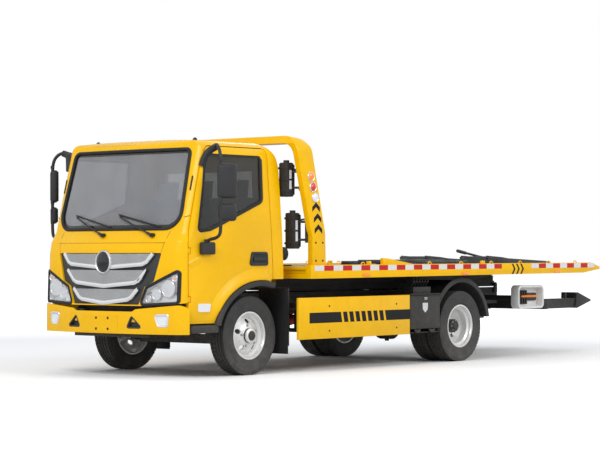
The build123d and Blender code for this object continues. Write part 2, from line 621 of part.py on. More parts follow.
class Cab:
    """The cab's outer and inner forms, shared by its panels."""

    def __init__(self):
        self.outer = cab_forms(0)
        self.inner = cab_forms(CAB_WALL)
        self.split_front = BELT_Z - 30
        self.split_top = DOOR_TOP
        self.under = block((-1200, 1200), (-300, 600), (300, FLOOR_Z + 40))
        doorway = side_cut(door_outline(0), 700, 1200)
        self.doorways = [doorway, mirror(doorway, about=Plane.YZ)]

    def common(self, forms, zone):
        front, side, nose = forms
        return ((front & zone) & side) & nose

    def panel(self, zone, *cuts):
        """The wall of the cab inside a zone, less the cuts."""
        piece = self.common(self.outer, zone) - self.common(self.inner, zone)
        for cut in cuts:
            piece = piece - cut
        return piece

    def door(self, side):
        zone = side_cut(door_outline(DOOR_GAP), 700, 1200) - side_cut(window_outline(0), 700, 1200)
        door = self.panel(zone, arch_cut(DOOR_GAP, 700, 1200), block((700, 828), (-1400, -500), (300, 2400)))
        for z in HINGE_HEIGHTS:
            pocket = block((HINGE_X - 20, 1000), (DOOR_FRONT, HINGE_Y + 12), (z - 32, z + 32))
            door = door - pocket + Pos(HINGE_X, HINGE_Y, z) * Cylinder(5, 90)
        return flipped(door, side)

    def door_glass(self, side):
        form = self.common(self.outer, side_cut(window_outline(0.5), 700, 1200))
        behind = self.common(self.outer, side_cut(window_outline(-12), 600, 1200))
        pane = Pos(-14, 0, 0) * (form - Pos(-GLASS, 0, 0) * behind)
        return flipped(pane & block((800, 1200), (-1400, 600), (0, 2400)), side)

    def front(self):
        open_below = rounded(mirrored([(460, CAB_LOW, 0), (905, CAB_LOW + 25, 0), (1200, CAB_LOW + 85, 0),
                                       (1200, 300, 0)]))
        low = self.panel(block((-1200, 1200), (-1400, -600), (DOOR_LOW, self.split_front)), *self.doorways,
                         front_cut(open_below, -1400, -880),
                         front_cut(grille_outline(0), -1400, -900),
                         front_cut(lamp_outline(1, 0), -1400, -850),
                         front_cut(lamp_outline(-1, 0), -1400, -850),
                         block((-1200, 1200), (-880, -500), (0, 1500)))
        for z in HINGE_HEIGHTS:
            lug = block((HINGE_X - 8, HINGE_X + 4), (DOOR_FRONT - 12, HINGE_Y), (z - 24, z + 24))
            lug = lug + Pos(HINGE_X, HINGE_Y, z) * Cylinder(9, 48)
            lug = lug - Pos(HINGE_X, HINGE_Y, z) * Cylinder(5 + PIN_GAP, 80)
            low = fused(low, lug, mirror(lug, about=Plane.YZ))
        return low

    def rear(self):
        window = make_face(Polyline((-620, 1560), (620, 1560), (600, 2020), (-600, 2020), close=True))
        return self.panel(block((-1200, 1200), (100, 600), (300, self.split_top)), *self.doorways,
                          self.under, front_cut(window, 200, 600))

    def roof(self):
        return self.panel(block((-1200, 1200), (-1400, 600), (self.split_top, 2400)))

    def pillars(self):
        """The windshield's frame with the front pillars."""
        return self.panel(block((-1200, 1200), (-1400, -500), (self.split_front, self.split_top)),
                          *self.doorways, front_cut(windshield_outline(0), -1400, -450))

    def glass(self):
        form = self.common(self.outer, front_cut(windshield_outline(0.3), -1400, -500))
        behind = self.common(self.outer, front_cut(windshield_outline(-20), -1400, -500))
        pane = Pos(0, 12, 0) * (form - Pos(0, GLASS, -GLASS * 0.25) * behind)
        rear = block((-600, 600), (CAB_REAR - 24, CAB_REAR - 18), (1561, 2019))
        return pane, rear


def cab_floor(cab):
    """Foot well, step over the wheels and upper floor, with the pivot arms below."""
    half = 870
    inside = cab_forms(CAB_WALL + RUN_GAP)
    low = cab.common(inside, block((-half, half), (-1300, -560), (FOOT_Z, FOOT_Z + 30)))
    riser = block((-half, half), (-590, -560), (FOOT_Z, FLOOR_Z + 40))
    top = block((-half, half), (-590, CAB_REAR - CAB_WALL - RUN_GAP), (FLOOR_Z, FLOOR_Z + 40))
    floor = fused(low, riser, top)
    y, z = CAB_PIVOT_Y, CAB_PIVOT_Z
    for side in (1, -1):
        arm = side_shape([(y - 18, z - 18), (y - 18, z + 15), (y + 45, z + 100), (y + 45, FOOT_Z + 5),
                          (y + 145, FOOT_Z + 5), (y + 145, z + 100), (y + 35, z - 18)],
                         RAIL_OUT + 24, RAIL_OUT + 44)
        pin = along((RAIL_OUT + 5, y, z), (RAIL_OUT + 40, y, z), RAM_PIN_RADIUS)
        floor = floor + flipped(arm + pin, side)
    return floor


def arch_flares():
    """Black lips round the front wheel arches and the steps ahead of them."""
    flare = arch_cut(0, 940, 1012) - arch_cut(-50, 900, 1100)
    flare = flare & block((900, 1100), (-800, ARCH_REAR), (DOOR_LOW - 14, 1100))
    web = arch_cut(-4, 875, 945) - arch_cut(-30, 700, 1100)
    web = web & block((700, 1100), (-800, ARCH_REAR), (DOOR_LOW + 60, 1100))
    step = block((830, 1000), (-925, -570), (435, DOOR_LOW - DOOR_GAP))
    stay = block((800, 860), (-925, -660), (DOOR_LOW - DOOR_GAP - 10, FOOT_Z))
    stay = stay + block((800, 860), (-925, -660), (435, DOOR_LOW))
    return both(fused(flare, web, step, stay))


# Cab fittings

BADGE_Z = 1114


def grille():
    """Three stacked chevron tiers on a backing, with an oval plate over the top two."""
    back = front_cut(grille_outline(1), -1200, -1000)
    shapes = back & (nose_slice(20) - nose_slice(CAB_WALL))
    # top, middle of the low edge, half width at the top and at the low edge
    for top, drop, half_top, half_low in ((1195, 1052, 612, 543), (1036, 874, 545, 452), (855, 712, 442, 364)):
        tier = make_face(Polyline((-half_top, top), (half_top, top), (half_low, drop + 48), (0, drop),
                                  (-half_low, drop + 48), close=True))
        raised = front_cut(tier, -1200, -900) & (nose_slice(6) - nose_slice(30))
        shapes = shapes + raised
    badge_back = NOSE[1][1] - 0.5
    badge = front_cut(Pos(0, BADGE_Z) * Ellipse(99, 111), -1134, badge_back)
    boss = front_cut(Pos(0, BADGE_Z) * Circle(60), badge_back - 5, badge_back + 25)
    return fused(shapes, badge, boss)


def nose_slice(inset):
    """The part of the nose's form ahead of the doors."""
    face = nose_outline(inset)
    nose = None
    for (z0, y0), (z1, y1) in zip(NOSE[:3], NOSE[1:3]):
        lean = Vector(0, y1 - y0, z1 - z0)
        slab = extrude(Pos(0, y0, z0) * face, amount=lean.length, dir=lean)
        nose = slab if nose is None else nose + slab
    return nose & block((-1200, 1200), (-1400, -850), (600, 1300))


def headlamps():
    lens = front_cut(lamp_outline(1, 1), -1200, DOOR_FRONT - 10) & (nose_slice(2) - nose_slice(CAB_WALL))
    return both(lens)


def seats():
    """Driver's seat and a two-seat bench, each a cushion, a back and a head rest."""
    solids = []
    for x0, x1 in ((230, 730), (-730, -240), (-230, 220)):
        base = block((x0, x1), (-420, 90), (FLOOR_Z + 40, FLOOR_Z + 260))
        back = side_shape([(60, FLOOR_Z + 270), (190, FLOOR_Z + 270), (300, FLOOR_Z + 850),
                           (210, FLOOR_Z + 850)], x0, x1)
        head = side_shape([(225, FLOOR_Z + 850), (300, FLOOR_Z + 850), (325, FLOOR_Z + 1030),
                           (255, FLOOR_Z + 1030)], (x0 + x1) / 2 - 120, (x0 + x1) / 2 + 120)
        link = block((x0 + 20, x1 - 20), (60, 90), (FLOOR_Z + 250, FLOOR_Z + 300))
        solids.append(fused(base, back, head, link))
    return Compound(children=solids)


WHEEL_HUB = (480, -560, 1420)                         # steering wheel's middle
COLUMN_LEAN = 35                                      # degrees from upright


def dashboard(cab):
    """Shelf below the windshield on a centre pillar, with the steering column."""
    shelf = side_shape([(-1000, 1390), (-640, 1390), (-600, 1330), (-660, 1120), (-1000, 1120)], -812, 812)
    shelf = cab.common(cab_forms(CAB_WALL + 15), shelf)
    foot = block((-300, 300), (-960, -760), (FOOT_Z + 30, 1125))
    hub = Vector(*WHEEL_HUB)
    lean = Vector(0, -sin(radians(COLUMN_LEAN)), -cos(radians(COLUMN_LEAN)))
    column = along(tuple(hub + lean * 60), tuple(hub + lean * 330), 32)
    bore = along(tuple(hub + lean * 30), tuple(hub + lean * 200), 12 + PIN_GAP)
    return fused(shelf, foot, column) - bore


def steering_wheel():
    tilt = Pos(*WHEEL_HUB) * Rot(-COLUMN_LEAN, 0, 0)
    rim = Torus(215, 15)
    hub = Pos(0, 0, -30) * Cylinder(55, 50)
    spokes = fused(*[Rot(0, 0, turn) * (Pos(110, 0, -18) * Box(220, 34, 18)) for turn in (0, 180, 270)])
    stem = Pos(0, 0, -110) * Cylinder(12, 130)
    return tilt * fused(rim, hub, spokes, stem)


MIRROR_X = 1160
MIRROR_Y = -715


def mirror_arm(cab, side):
    """A tall bar ahead of the door with a main and a wide-angle mirror."""
    bar = along((MIRROR_X, MIRROR_Y, 1320), (MIRROR_X, MIRROR_Y, 2150), 14)
    top = along((MIRROR_X, MIRROR_Y, 2150), (925, -600, 2150), 14)
    low = along((MIRROR_X, MIRROR_Y, 1320), (995, -705, 1270), 14)
    base = block((900, 1010), (-795, -620), (1185, 1300))
    cap = block((860, 945), (-640, -560), (2110, 2185))
    head = fillet(block((1080, 1308), (MIRROR_Y - 50, MIRROR_Y + 45), (1720, 2045)).edges(), 22)
    wide = fillet(block((1100, 1290), (MIRROR_Y - 40, MIRROR_Y + 40), (1500, 1670)).edges(), 20)
    bends = [Pos(MIRROR_X, MIRROR_Y, z) * Sphere(16) for z in (1320, 2150)]
    arm = fused(bar, *bends, top, low, base, cap, head, wide)
    for zone in (block((700, 1200), (-1000, -500), (1150, 1400)), block((700, 1200), (-800, -500), (2050, 2200))):
        arm = arm - cab.common(cab.outer, zone)
    return flipped(arm, side)


# Bed, gantry and winch

RUNNER_X = TILT_RAIL_OUT + 6
RUNNER_WIDTH = 50


def tilt_frame():
    """Two long beams hinged at the rear, with the slide cylinder between them."""
    x0, x1 = TILT_RAIL_OUT - TILT_RAIL_WIDTH, TILT_RAIL_OUT
    beam = block((x0, x1), (900, 4870), (TILT_RAIL_LOW, TILT_RAIL_TOP))
    frame = beam + mirror(beam, about=Plane.YZ)
    for y in (930, 1400, 2760, 3800, 4700):
        frame = frame + block((-x1 + 5, x1 - 5), (y - 25, y + 25), (TILT_RAIL_LOW + 10, TILT_RAIL_LOW + 60))
    y, z = TILT_EYE
    path_y, path_z = EYE_PATH
    for side in (1, -1):
        knuckle_block = block((RAIL_OUT - 60, TILT_RAIL_OUT), (TILT_Y - 45, TILT_Y + 25), (TILT_Z - 18, TILT_Z + 45))
        tail = block((x0, x1), (4800, TILT_Y), (TILT_RAIL_LOW, TILT_RAIL_TOP))
        pin = along((RAIL_OUT - 30, TILT_Y, TILT_Z), (RAIL_OUT + 30, TILT_Y, TILT_Z), RAM_PIN_RADIUS)
        frame = frame + flipped(fused(knuckle_block, tail, pin), side)
        for x in lug_places(TILT_LUG_X, TILT_RAM):
            ear = lug_ear(x, (y + path_y, z + path_z), (y + path_y - 45, y + path_y + 45),
                          (z - 45, TILT_RAIL_LOW + 90), abs(path_y) + 1.5)
            frame = frame + flipped(ear, side)
    frame = frame + block((-x1 + 5, x1 - 5), (y - 34, y + 56), (TILT_RAIL_LOW + 60, TILT_RAIL_LOW + 100))
    barrel = along((0, 950, SLIDE_Z), (0, 4020, SLIDE_Z), 45) - along((0, 1000, SLIDE_Z), (0, 4100, SLIDE_Z), 33)
    posts = [block((-50, 50), (y - 20, y + 20), (TILT_RAIL_LOW + 50, SLIDE_Z - 40)) for y in (1400, 2760, 3800)]
    return fused(frame, barrel, *posts)


EYE_PATH = (10.8, -1.5)                               # middle of the tilt rod eye's drift, from the eye
SLIDE_Z = 925
RIB_LOW = SLIDE_Z + 50
DECK_FIELD = (950, 1300, 4300)                        # half width, first and last Y of the plain load floor


def bed_deck():
    """Deck plate, side rails, cross ribs, runners and the rod of the slide cylinder."""
    inner = BED_HALF - SIDE_RAIL_WIDTH
    deck = block((-inner, inner), (BED_FRONT, TAIL_KNEE_TOP - 40), (DECK_TOP - DECK_THICK, DECK_TOP))
    rail_side = side_shape([(BED_FRONT, SIDE_RAIL_LOW), (TAIL_KNEE_LOW, SIDE_RAIL_LOW + 18), (TAIL_TIP, TAIL_TIP_Z),
                            (TAIL_TIP, TAIL_TIP_Z + 28), (TAIL_KNEE_TOP, SIDE_RAIL_TOP),
                            (BED_FRONT, SIDE_RAIL_TOP)], inner, BED_HALF)
    tail = side_shape([(TAIL_KNEE_LOW, SIDE_RAIL_LOW + 30), (TAIL_TIP, TAIL_TIP_Z), (TAIL_TIP, TAIL_TIP_Z + 28),
                       (TAIL_KNEE_TOP - 60, DECK_TOP), (TAIL_KNEE_LOW, DECK_TOP)], -inner, inner)
    bed = fused(deck, tail, rail_side, mirror(rail_side, about=Plane.YZ))
    for count in range(9):
        y = BED_FRONT + 20 + count * 600
        bed = bed + block((-inner, inner), (y, y + 50), (RIB_LOW, DECK_TOP - 20))
    low = TILT_RAIL_LOW + 60
    for side in (1, -1):
        runner = side_shape([(900, low), (4300, low), (4900, SIDE_RAIL_LOW + 10), (4900, DECK_TOP - 20),
                             (900, DECK_TOP - 20)], RUNNER_X, RUNNER_X + RUNNER_WIDTH)
        pad = block((TILT_RAIL_OUT - TILT_RAIL_WIDTH, RUNNER_X + 5), (900, 4860),
                    (TILT_RAIL_TOP + SLIDE_GAP, DECK_TOP - 20))
        front = block((RUNNER_X, inner), (BED_FRONT, BED_FRONT + 30), (SIDE_RAIL_LOW, RIB_LOW + 10))
        bed = bed + flipped(fused(runner, pad, front), side)
    half, start, end = DECK_FIELD
    groove = block((-half, half), (start, end), (DECK_TOP - 2, DECK_TOP + 1))
    bed = bed - (groove - block((-half + 6, half - 6), (start + 6, end - 6), (DECK_TOP - 3, DECK_TOP + 2)))
    eye = block((-30, 30), (4040, 4100), (SLIDE_Z - 30, DECK_TOP - 20))
    rod = along((0, 1010, SLIDE_Z), (0, 4050, SLIDE_Z), 24)
    piston = along((0, 1010, SLIDE_Z), (0, 1040, SLIDE_Z), 33 - PIN_GAP)
    return fused(bed, eye, rod, piston)


def gantry():
    """Leaning posts with big rounded corners into one cross beam."""
    lean = [(680, SIDE_RAIL_TOP), (890, SIDE_RAIL_TOP), (880, 1400), (667, 2254), (600, 2330),
            (520, GANTRY_TOP), (446, GANTRY_TOP), (425, 2290), (655, 1430), (680, 1380)]
    slab = side_shape(lean, -GANTRY_OUT, GANTRY_OUT)
    outer = block((-GANTRY_OUT, GANTRY_OUT), (300, 1000), (SIDE_RAIL_TOP, GANTRY_TOP))
    outer = fillet(outer.edges().filter_by(Axis.Y).sort_by(Axis.Z)[-2:], 170)
    inner = block((-GANTRY_OUT + GANTRY_WIDTH, GANTRY_OUT - GANTRY_WIDTH), (200, 1100), (1000, GANTRY_TOP - 75))
    inner = fillet(inner.edges().filter_by(Axis.Y).sort_by(Axis.Z)[-2:], 110)
    return (slab & outer) - inner


def canisters():
    """Two upright banded canisters a side, on short rods from the posts."""
    shapes = []
    for y, z0, z1 in ((595, 1240, 1600), (500, 1760, 2100)):
        body = Pos(940, y, (z0 + z1) / 2) * Cylinder(58, z1 - z0)
        for band in (z0 + 60, z1 - 60):
            body = body + Pos(940, y, band) * Cylinder(62, 26)
        reach = along((940, y, z1 - 90), (1062, y + 80, z1 - 90), 12)
        reach2 = along((940, y, z0 + 90), (1062, y + 80, z0 + 90), 12)
        post = block((1060, 1069.7), (y + 50, y + 200), (z0 + 60, z1 - 60))
        shapes.append(both(fused(body, reach, reach2, post)))
    return shapes


def wheel_stops():
    """Dark loading ramps and stops lying on the rear of the deck."""
    shapes = []
    for side in (1, -1):
        ramp = side_shape([(4400, DECK_TOP), (4440, DECK_TOP + 95), (4760, DECK_TOP + 70), (4900, DECK_TOP + 60),
                           (5780, DECK_TOP + 25), (5790, DECK_TOP)], 260, 620)
        shapes.append(flipped(ramp, side))
    return Compound(children=shapes)


def side_wedges():
    """Yellow guide plates on top of the side rails."""
    wedge = side_shape([(1810, SIDE_RAIL_TOP), (1810, SIDE_RAIL_TOP + 66), (1900, SIDE_RAIL_TOP + 62),
                        (2330, SIDE_RAIL_TOP + 3), (2330, SIDE_RAIL_TOP)], BED_HALF - 40, BED_HALF - 5)
    return both(wedge)


WINCH_Y = 1130
WINCH_Z = 1190
DRUM_RADIUS = 60


def winch_frame():
    """Base, end plates and motor of the winch behind the gantry."""
    base = block((-380, 380), (WINCH_Y - 110, WINCH_Y + 110), (DECK_TOP, DECK_TOP + 16))
    frame = base
    for x in (-230, 210):
        plate = block((x, x + 20), (WINCH_Y - 100, WINCH_Y + 100), (DECK_TOP + 10, WINCH_Z + 90))
        frame = frame + plate
    motor = along((225, WINCH_Y, WINCH_Z), (370, WINCH_Y, WINCH_Z), 70)
    gear = along((-360, WINCH_Y, WINCH_Z), (-225, WINCH_Y, WINCH_Z), 85)
    bores = along((-260, WINCH_Y, WINCH_Z), (260, WINCH_Y, WINCH_Z), 18 + PIN_GAP)
    return fused(frame, motor, gear) - bores


def winch_drum():
    drum = along((-195, WINCH_Y, WINCH_Z), (195, WINCH_Y, WINCH_Z), DRUM_RADIUS)
    drum = drum + along((-203, WINCH_Y, WINCH_Z), (-190, WINCH_Y, WINCH_Z), 95)
    drum = drum + along((190, WINCH_Y, WINCH_Z), (203, WINCH_Y, WINCH_Z), 95)
    return drum + along((-255, WINCH_Y, WINCH_Z), (255, WINCH_Y, WINCH_Z), 18)


# Underlift

LIFT_EYE = (4800, 450)                                # Y, Z where the lift rams meet the boom
LIFT_SLACK = 4.5                                      # room for the lift rod's eye to drift
STINGER_SIZE = BOOM_SIZE - 2 * BOOM_WALL - 1


def boom():
    """Hollow arm on a cross pin, with side lugs for the lift rams."""
    half = BOOM_SIZE / 2
    tube = block((-half, half), (BOOM_Y - 30, 5040), (BOOM_Z - half - 20, BOOM_Z + half - 20))
    hole = half - BOOM_WALL
    tube = tube - block((-hole, hole), (BOOM_Y + 40, 5100), (BOOM_Z - hole - 20, BOOM_Z + hole - 20))
    tube = tube + along((-half - 40, BOOM_Y, BOOM_Z), (half + 40, BOOM_Y, BOOM_Z), 22)
    reach = LIFT_LUG_X + LIFT_RAM + 3 + LUG
    tube = tube + block((-reach, reach), (LIFT_EYE[0] + 32, LIFT_EYE[0] + 62), (LIFT_EYE[1] - 10, BOOM_Z - half - 15))
    for side in (1, -1):
        for x in lug_places(LIFT_LUG_X, LIFT_RAM):
            ear = lug_ear(x, LIFT_EYE, (LIFT_EYE[0] - 26, LIFT_EYE[0] + 62),
                          (LIFT_EYE[1] - 26, LIFT_EYE[1] + 26), LIFT_SLACK)
            tube = tube + flipped(ear, side)
    return tube


def stinger():
    half = STINGER_SIZE / 2
    arm = block((-half, half), (BOOM_Y + 60, CROSS_Y - 45), (BOOM_Z - half - 20, BOOM_Z + half - 20))
    nose = Pos(0, CROSS_Y, BOOM_Z - 20) * Cylinder(48, STINGER_SIZE)
    arm = fused(arm, block((-30, 30), (CROSS_Y - 60, CROSS_Y), (BOOM_Z - half - 20, BOOM_Z + half - 20)), nose)
    return arm - Pos(0, CROSS_Y, BOOM_Z - 20) * Cylinder(22 + PIN_GAP, 300)


def crossbar():
    """Cross beam on a pin through the stinger's end, with two long fork arms."""
    z = BOOM_Z - 20
    half = STINGER_SIZE / 2
    bar = block((-FORK_X - 55, FORK_X + 55), (CROSS_Y + 62, CROSS_Y + 150), (FORK_LOW, FORK_LOW + 110))
    for low, high in ((z - half - 20, z - half - RUN_GAP), (z + half + RUN_GAP, z + half + 20)):
        bar = bar + block((-70, 70), (CROSS_Y - 50, CROSS_Y + 100), (low, high))
    web = block((-70, 70), (CROSS_Y + 62, CROSS_Y + 100), (z - half - 20, z + half + 20))
    pin = Pos(0, CROSS_Y, z) * Cylinder(22, STINGER_SIZE + 36)
    bar = fused(bar, web, pin)
    for side in (1, -1):
        arm = block((FORK_X - 50, FORK_X + 50), (CROSS_Y + 90, 6000), (FORK_LOW + 5, FORK_LOW + 120))
        knob = Pos(FORK_X, 5840, FORK_LOW + 150) * Cylinder(18, 80)
        wedge = side_shape([(5960, FORK_LOW + 20), (6000, FORK_LOW), (FORK_END, FORK_LOW + 82),
                            (FORK_END, FORK_LOW + 98), (6020, FORK_LOW + 190), (5990, FORK_LOW + 190),
                            (5985, FORK_LOW + 100)], FORK_X - 150, FORK_X + 70)
        bar = bar + flipped(fused(arm, knob, wedge), side)
    return bar


def ram(x, start, end, barrel_length, rod_start, barrel_radius, rod_radius):
    """Barrel and rod between two cross pins, given as (Y, Z)."""
    a, b = Vector(x, *start), Vector(x, *end)
    run = (b - a).normalized()
    grip = barrel_radius + 2.5
    head = along(tuple(a + run * 10), tuple(a + run * barrel_length), barrel_radius)
    bore = along(tuple(a + run * 50), tuple(a + run * (barrel_length + 10)), rod_radius + PIN_GAP)
    eye = along((x - grip, *start), (x + grip, *start), 26)
    pin = along((x - grip - 18, *start), (x + grip + 18, *start), RAM_PIN_RADIUS)
    barrel = fused(head, eye, pin) - bore
    rod = along(tuple(a + run * rod_start), tuple(b - run * 10), rod_radius)
    rod_eye = along((x - grip, *end), (x + grip, *end), 25)
    rod_pin = along((x - grip - 18, *end), (x + grip + 18, *end), RAM_PIN_RADIUS)
    return barrel, fused(rod, rod_eye, rod_pin)


part_names = []
FRONT_END = BUMPER_FRONT
SHIFT = -(FRONT_END + FORK_END) / 2


def save(name, *shapes):
    """Write one node, with the origin moved under the middle of the truck."""
    solids = []
    for shape in shapes:
        solids.extend(shape.solids())
    placed = [Pos(0, SHIFT, 0) * solid for solid in solids]
    part_names.append(name)
    export_step(placed[0] if len(placed) == 1 else Compound(children=placed), f"parts/{name}.step")
    print(name, len(placed), round(sum(solid.volume for solid in placed) / 1e6, 2), "litres")


def main():
    os.makedirs("parts", exist_ok=True)
    save("chassis_frame", chassis_frame())
    save("crossmembers", *crossmembers())
    save("frame_brackets", *frame_brackets())
    save("bumper", bumper())
    save("front_axle", front_axle())
    save("rear_axle", rear_axle())
    save("power_unit", power_unit())
    save("side_guards", side_guard(1), side_guard(-1))
    save("tool_box", tool_box())
    save("tool_box_lid", tool_box_lid())
    save("fuel_tank", fuel_tank())
    save("mudguards", mudguards())
    save("lamp_boxes", lamp_boxes())
    save("valve_bank", valve_bank())
    save("tie_rod", tie_rod())
    for name, side in (("left", 1), ("right", -1)):
        save(f"knuckle_{name}", knuckle(side))
        save(f"tyre_front_{name}", lifted(flipped(tyre(FRONT_TRACK / 2), side), 0))
        save(f"rim_front_{name}", lifted(flipped(front_rim(FRONT_TRACK / 2), side), 0))
        twins = Compound(children=[tyre(DUAL_OUTER_X), tyre(DUAL_INNER_X)])
        save(f"tyre_rear_{name}", lifted(flipped(twins, side), WHEELBASE))
        save(f"rim_rear_{name}", lifted(rear_rim(side), WHEELBASE))
    cab = Cab()
    save("cab_front", cab.front())
    save("cab_rear_wall", cab.rear())
    save("cab_roof", cab.roof())
    save("cab_pillars", cab.pillars())
    save("cab_glass", *cab.glass())
    save("cab_floor", cab_floor(cab))
    save("arch_flares", arch_flares())
    save("grille", grille())
    save("headlamps", headlamps())
    save("seats", seats())
    save("dashboard", dashboard(cab))
    save("steering_wheel", steering_wheel())
    for name, side in (("left", 1), ("right", -1)):
        save(f"door_{name}", cab.door(side))
        save(f"door_glass_{name}", cab.door_glass(side))
        save(f"mirror_{name}", mirror_arm(cab, side))
    save("tilt_frame", tilt_frame())
    save("bed_deck", bed_deck())
    save("gantry", gantry())
    save("canisters", *canisters())
    save("wheel_stops", wheel_stops())
    save("side_wedges", side_wedges())
    save("winch_frame", winch_frame())
    save("winch_drum", winch_drum())
    save("boom", boom())
    save("stinger", stinger())
    save("crossbar", crossbar())
    for name, lug, start, end, barrel, inside, radius, rod in (
            ("lift", LIFT_LUG_X, LIFT_PIN, LIFT_EYE, 225, 90, LIFT_RAM, 18),
            ("tilt", TILT_LUG_X, TILT_PIN, TILT_EYE, 1200, 100, TILT_RAM, 26)):
        tube, piston = ram(lug, start, end, barrel, inside, radius, rod)
        save(f"{name}_ram_barrels", both(tube))
        save(f"{name}_ram_rods", both(piston))


def lifted(shape, y):
    """A wheel's piece turned about the X axis, set on its axle."""
    return Pos(0, y, AXLE_Z) * shape


if __name__ == "__main__":
    main()
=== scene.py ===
"""Looks of a yellow flatbed tow truck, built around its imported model."""
import json
import math

import bmesh
import bpy
from mathutils import Matrix, Vector
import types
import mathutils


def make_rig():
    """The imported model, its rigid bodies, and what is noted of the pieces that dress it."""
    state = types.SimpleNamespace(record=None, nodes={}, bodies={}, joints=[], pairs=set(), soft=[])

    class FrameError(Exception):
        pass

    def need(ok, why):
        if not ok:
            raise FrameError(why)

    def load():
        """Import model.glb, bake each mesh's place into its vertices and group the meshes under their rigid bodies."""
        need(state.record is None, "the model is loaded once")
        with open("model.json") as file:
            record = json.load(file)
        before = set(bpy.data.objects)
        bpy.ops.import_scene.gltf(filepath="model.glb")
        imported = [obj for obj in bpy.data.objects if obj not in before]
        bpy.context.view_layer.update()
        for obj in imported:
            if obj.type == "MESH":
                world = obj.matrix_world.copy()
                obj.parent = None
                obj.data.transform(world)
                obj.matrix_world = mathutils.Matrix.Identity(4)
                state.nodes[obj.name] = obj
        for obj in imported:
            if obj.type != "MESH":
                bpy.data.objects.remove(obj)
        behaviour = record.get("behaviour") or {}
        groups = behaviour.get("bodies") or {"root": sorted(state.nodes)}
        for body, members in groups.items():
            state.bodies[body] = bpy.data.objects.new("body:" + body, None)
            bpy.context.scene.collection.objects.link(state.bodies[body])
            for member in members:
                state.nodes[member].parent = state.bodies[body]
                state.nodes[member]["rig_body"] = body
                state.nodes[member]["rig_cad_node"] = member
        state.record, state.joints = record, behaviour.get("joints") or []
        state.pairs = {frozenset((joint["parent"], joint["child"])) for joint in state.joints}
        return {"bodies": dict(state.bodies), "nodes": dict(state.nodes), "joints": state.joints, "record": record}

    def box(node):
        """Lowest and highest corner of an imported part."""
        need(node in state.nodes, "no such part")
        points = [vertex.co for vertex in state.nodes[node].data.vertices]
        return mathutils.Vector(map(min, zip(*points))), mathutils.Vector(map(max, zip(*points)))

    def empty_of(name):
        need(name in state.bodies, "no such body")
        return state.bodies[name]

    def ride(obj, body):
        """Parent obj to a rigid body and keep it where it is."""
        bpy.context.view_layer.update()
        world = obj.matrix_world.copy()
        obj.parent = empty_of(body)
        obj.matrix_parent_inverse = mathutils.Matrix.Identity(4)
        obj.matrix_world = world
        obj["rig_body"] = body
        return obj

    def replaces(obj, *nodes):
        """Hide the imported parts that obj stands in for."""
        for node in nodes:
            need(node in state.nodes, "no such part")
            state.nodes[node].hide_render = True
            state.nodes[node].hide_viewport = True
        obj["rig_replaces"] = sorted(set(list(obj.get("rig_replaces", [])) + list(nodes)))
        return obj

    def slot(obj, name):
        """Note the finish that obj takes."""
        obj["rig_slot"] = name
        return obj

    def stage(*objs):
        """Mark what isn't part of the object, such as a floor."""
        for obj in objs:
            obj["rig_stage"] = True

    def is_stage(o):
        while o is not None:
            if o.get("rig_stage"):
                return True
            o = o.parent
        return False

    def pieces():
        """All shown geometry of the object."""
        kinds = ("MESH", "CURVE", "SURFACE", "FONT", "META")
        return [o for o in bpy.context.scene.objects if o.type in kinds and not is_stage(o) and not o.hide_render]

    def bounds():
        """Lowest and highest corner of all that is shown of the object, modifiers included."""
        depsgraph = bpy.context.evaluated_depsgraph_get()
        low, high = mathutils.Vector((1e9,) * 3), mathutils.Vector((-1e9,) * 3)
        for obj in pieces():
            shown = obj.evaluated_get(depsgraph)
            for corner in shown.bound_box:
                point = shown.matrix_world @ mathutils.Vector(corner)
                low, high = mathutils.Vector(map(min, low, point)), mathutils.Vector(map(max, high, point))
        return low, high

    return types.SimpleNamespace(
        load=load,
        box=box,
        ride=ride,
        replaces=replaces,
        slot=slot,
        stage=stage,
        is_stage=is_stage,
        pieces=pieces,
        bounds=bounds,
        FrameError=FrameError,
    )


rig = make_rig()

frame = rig.load()
NODES = frame["nodes"]
CAD_BOX = [list(v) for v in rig.bounds()]

# Driving places, from the frame
TYRE_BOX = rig.box("tyre_front_left")
AXLE_Y = (TYRE_BOX[0].y + TYRE_BOX[1].y) / 2
TYRE_RADIUS = (TYRE_BOX[1].y - TYRE_BOX[0].y) / 2
AXLE_Z = TYRE_RADIUS
REAR_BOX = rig.box("tyre_rear_left")
REAR_Y = (REAR_BOX[0].y + REAR_BOX[1].y) / 2
SIDES = ((1, "left"), (-1, "right"))


def at(x, y, z):
    """A point whose y counts from the front axle."""
    return Vector((x, y + AXLE_Y, z))


# Materials

def new_material(name):
    material = bpy.data.materials.new(name)
    material.use_nodes = True
    return material, material.node_tree, material.node_tree.nodes["Principled BSDF"]


def link(tree, a, b):
    tree.links.new(a, b)


def coordinates(tree, scale=1.0):
    source = tree.nodes.new("ShaderNodeTexCoord")
    mapping = tree.nodes.new("ShaderNodeMapping")
    mapping.inputs["Scale"].default_value = (scale, scale, scale)
    link(tree, source.outputs["Object"], mapping.inputs["Vector"])
    return mapping.outputs["Vector"]


def noise(tree, vector, scale, detail=4, rough=0.55):
    node = tree.nodes.new("ShaderNodeTexNoise")
    node.inputs["Scale"].default_value = scale
    node.inputs["Detail"].default_value = detail
    node.inputs["Roughness"].default_value = rough
    link(tree, vector, node.inputs["Vector"])
    return node.outputs["Fac"]


def ramp(tree, value, stops):
    node = tree.nodes.new("ShaderNodeValToRGB")
    elements = node.color_ramp.elements
    while len(elements) < len(stops):
        elements.new(0.5)
    for element, (place, colour) in zip(elements, stops):
        element.position = place
        element.color = (*colour, 1)
    link(tree, value, node.inputs["Fac"])
    return node.outputs["Color"]


def grey_ramp(tree, value, low, high, a=0.0, b=1.0):
    return ramp(tree, value, [(low, (a, a, a)), (high, (b, b, b))])


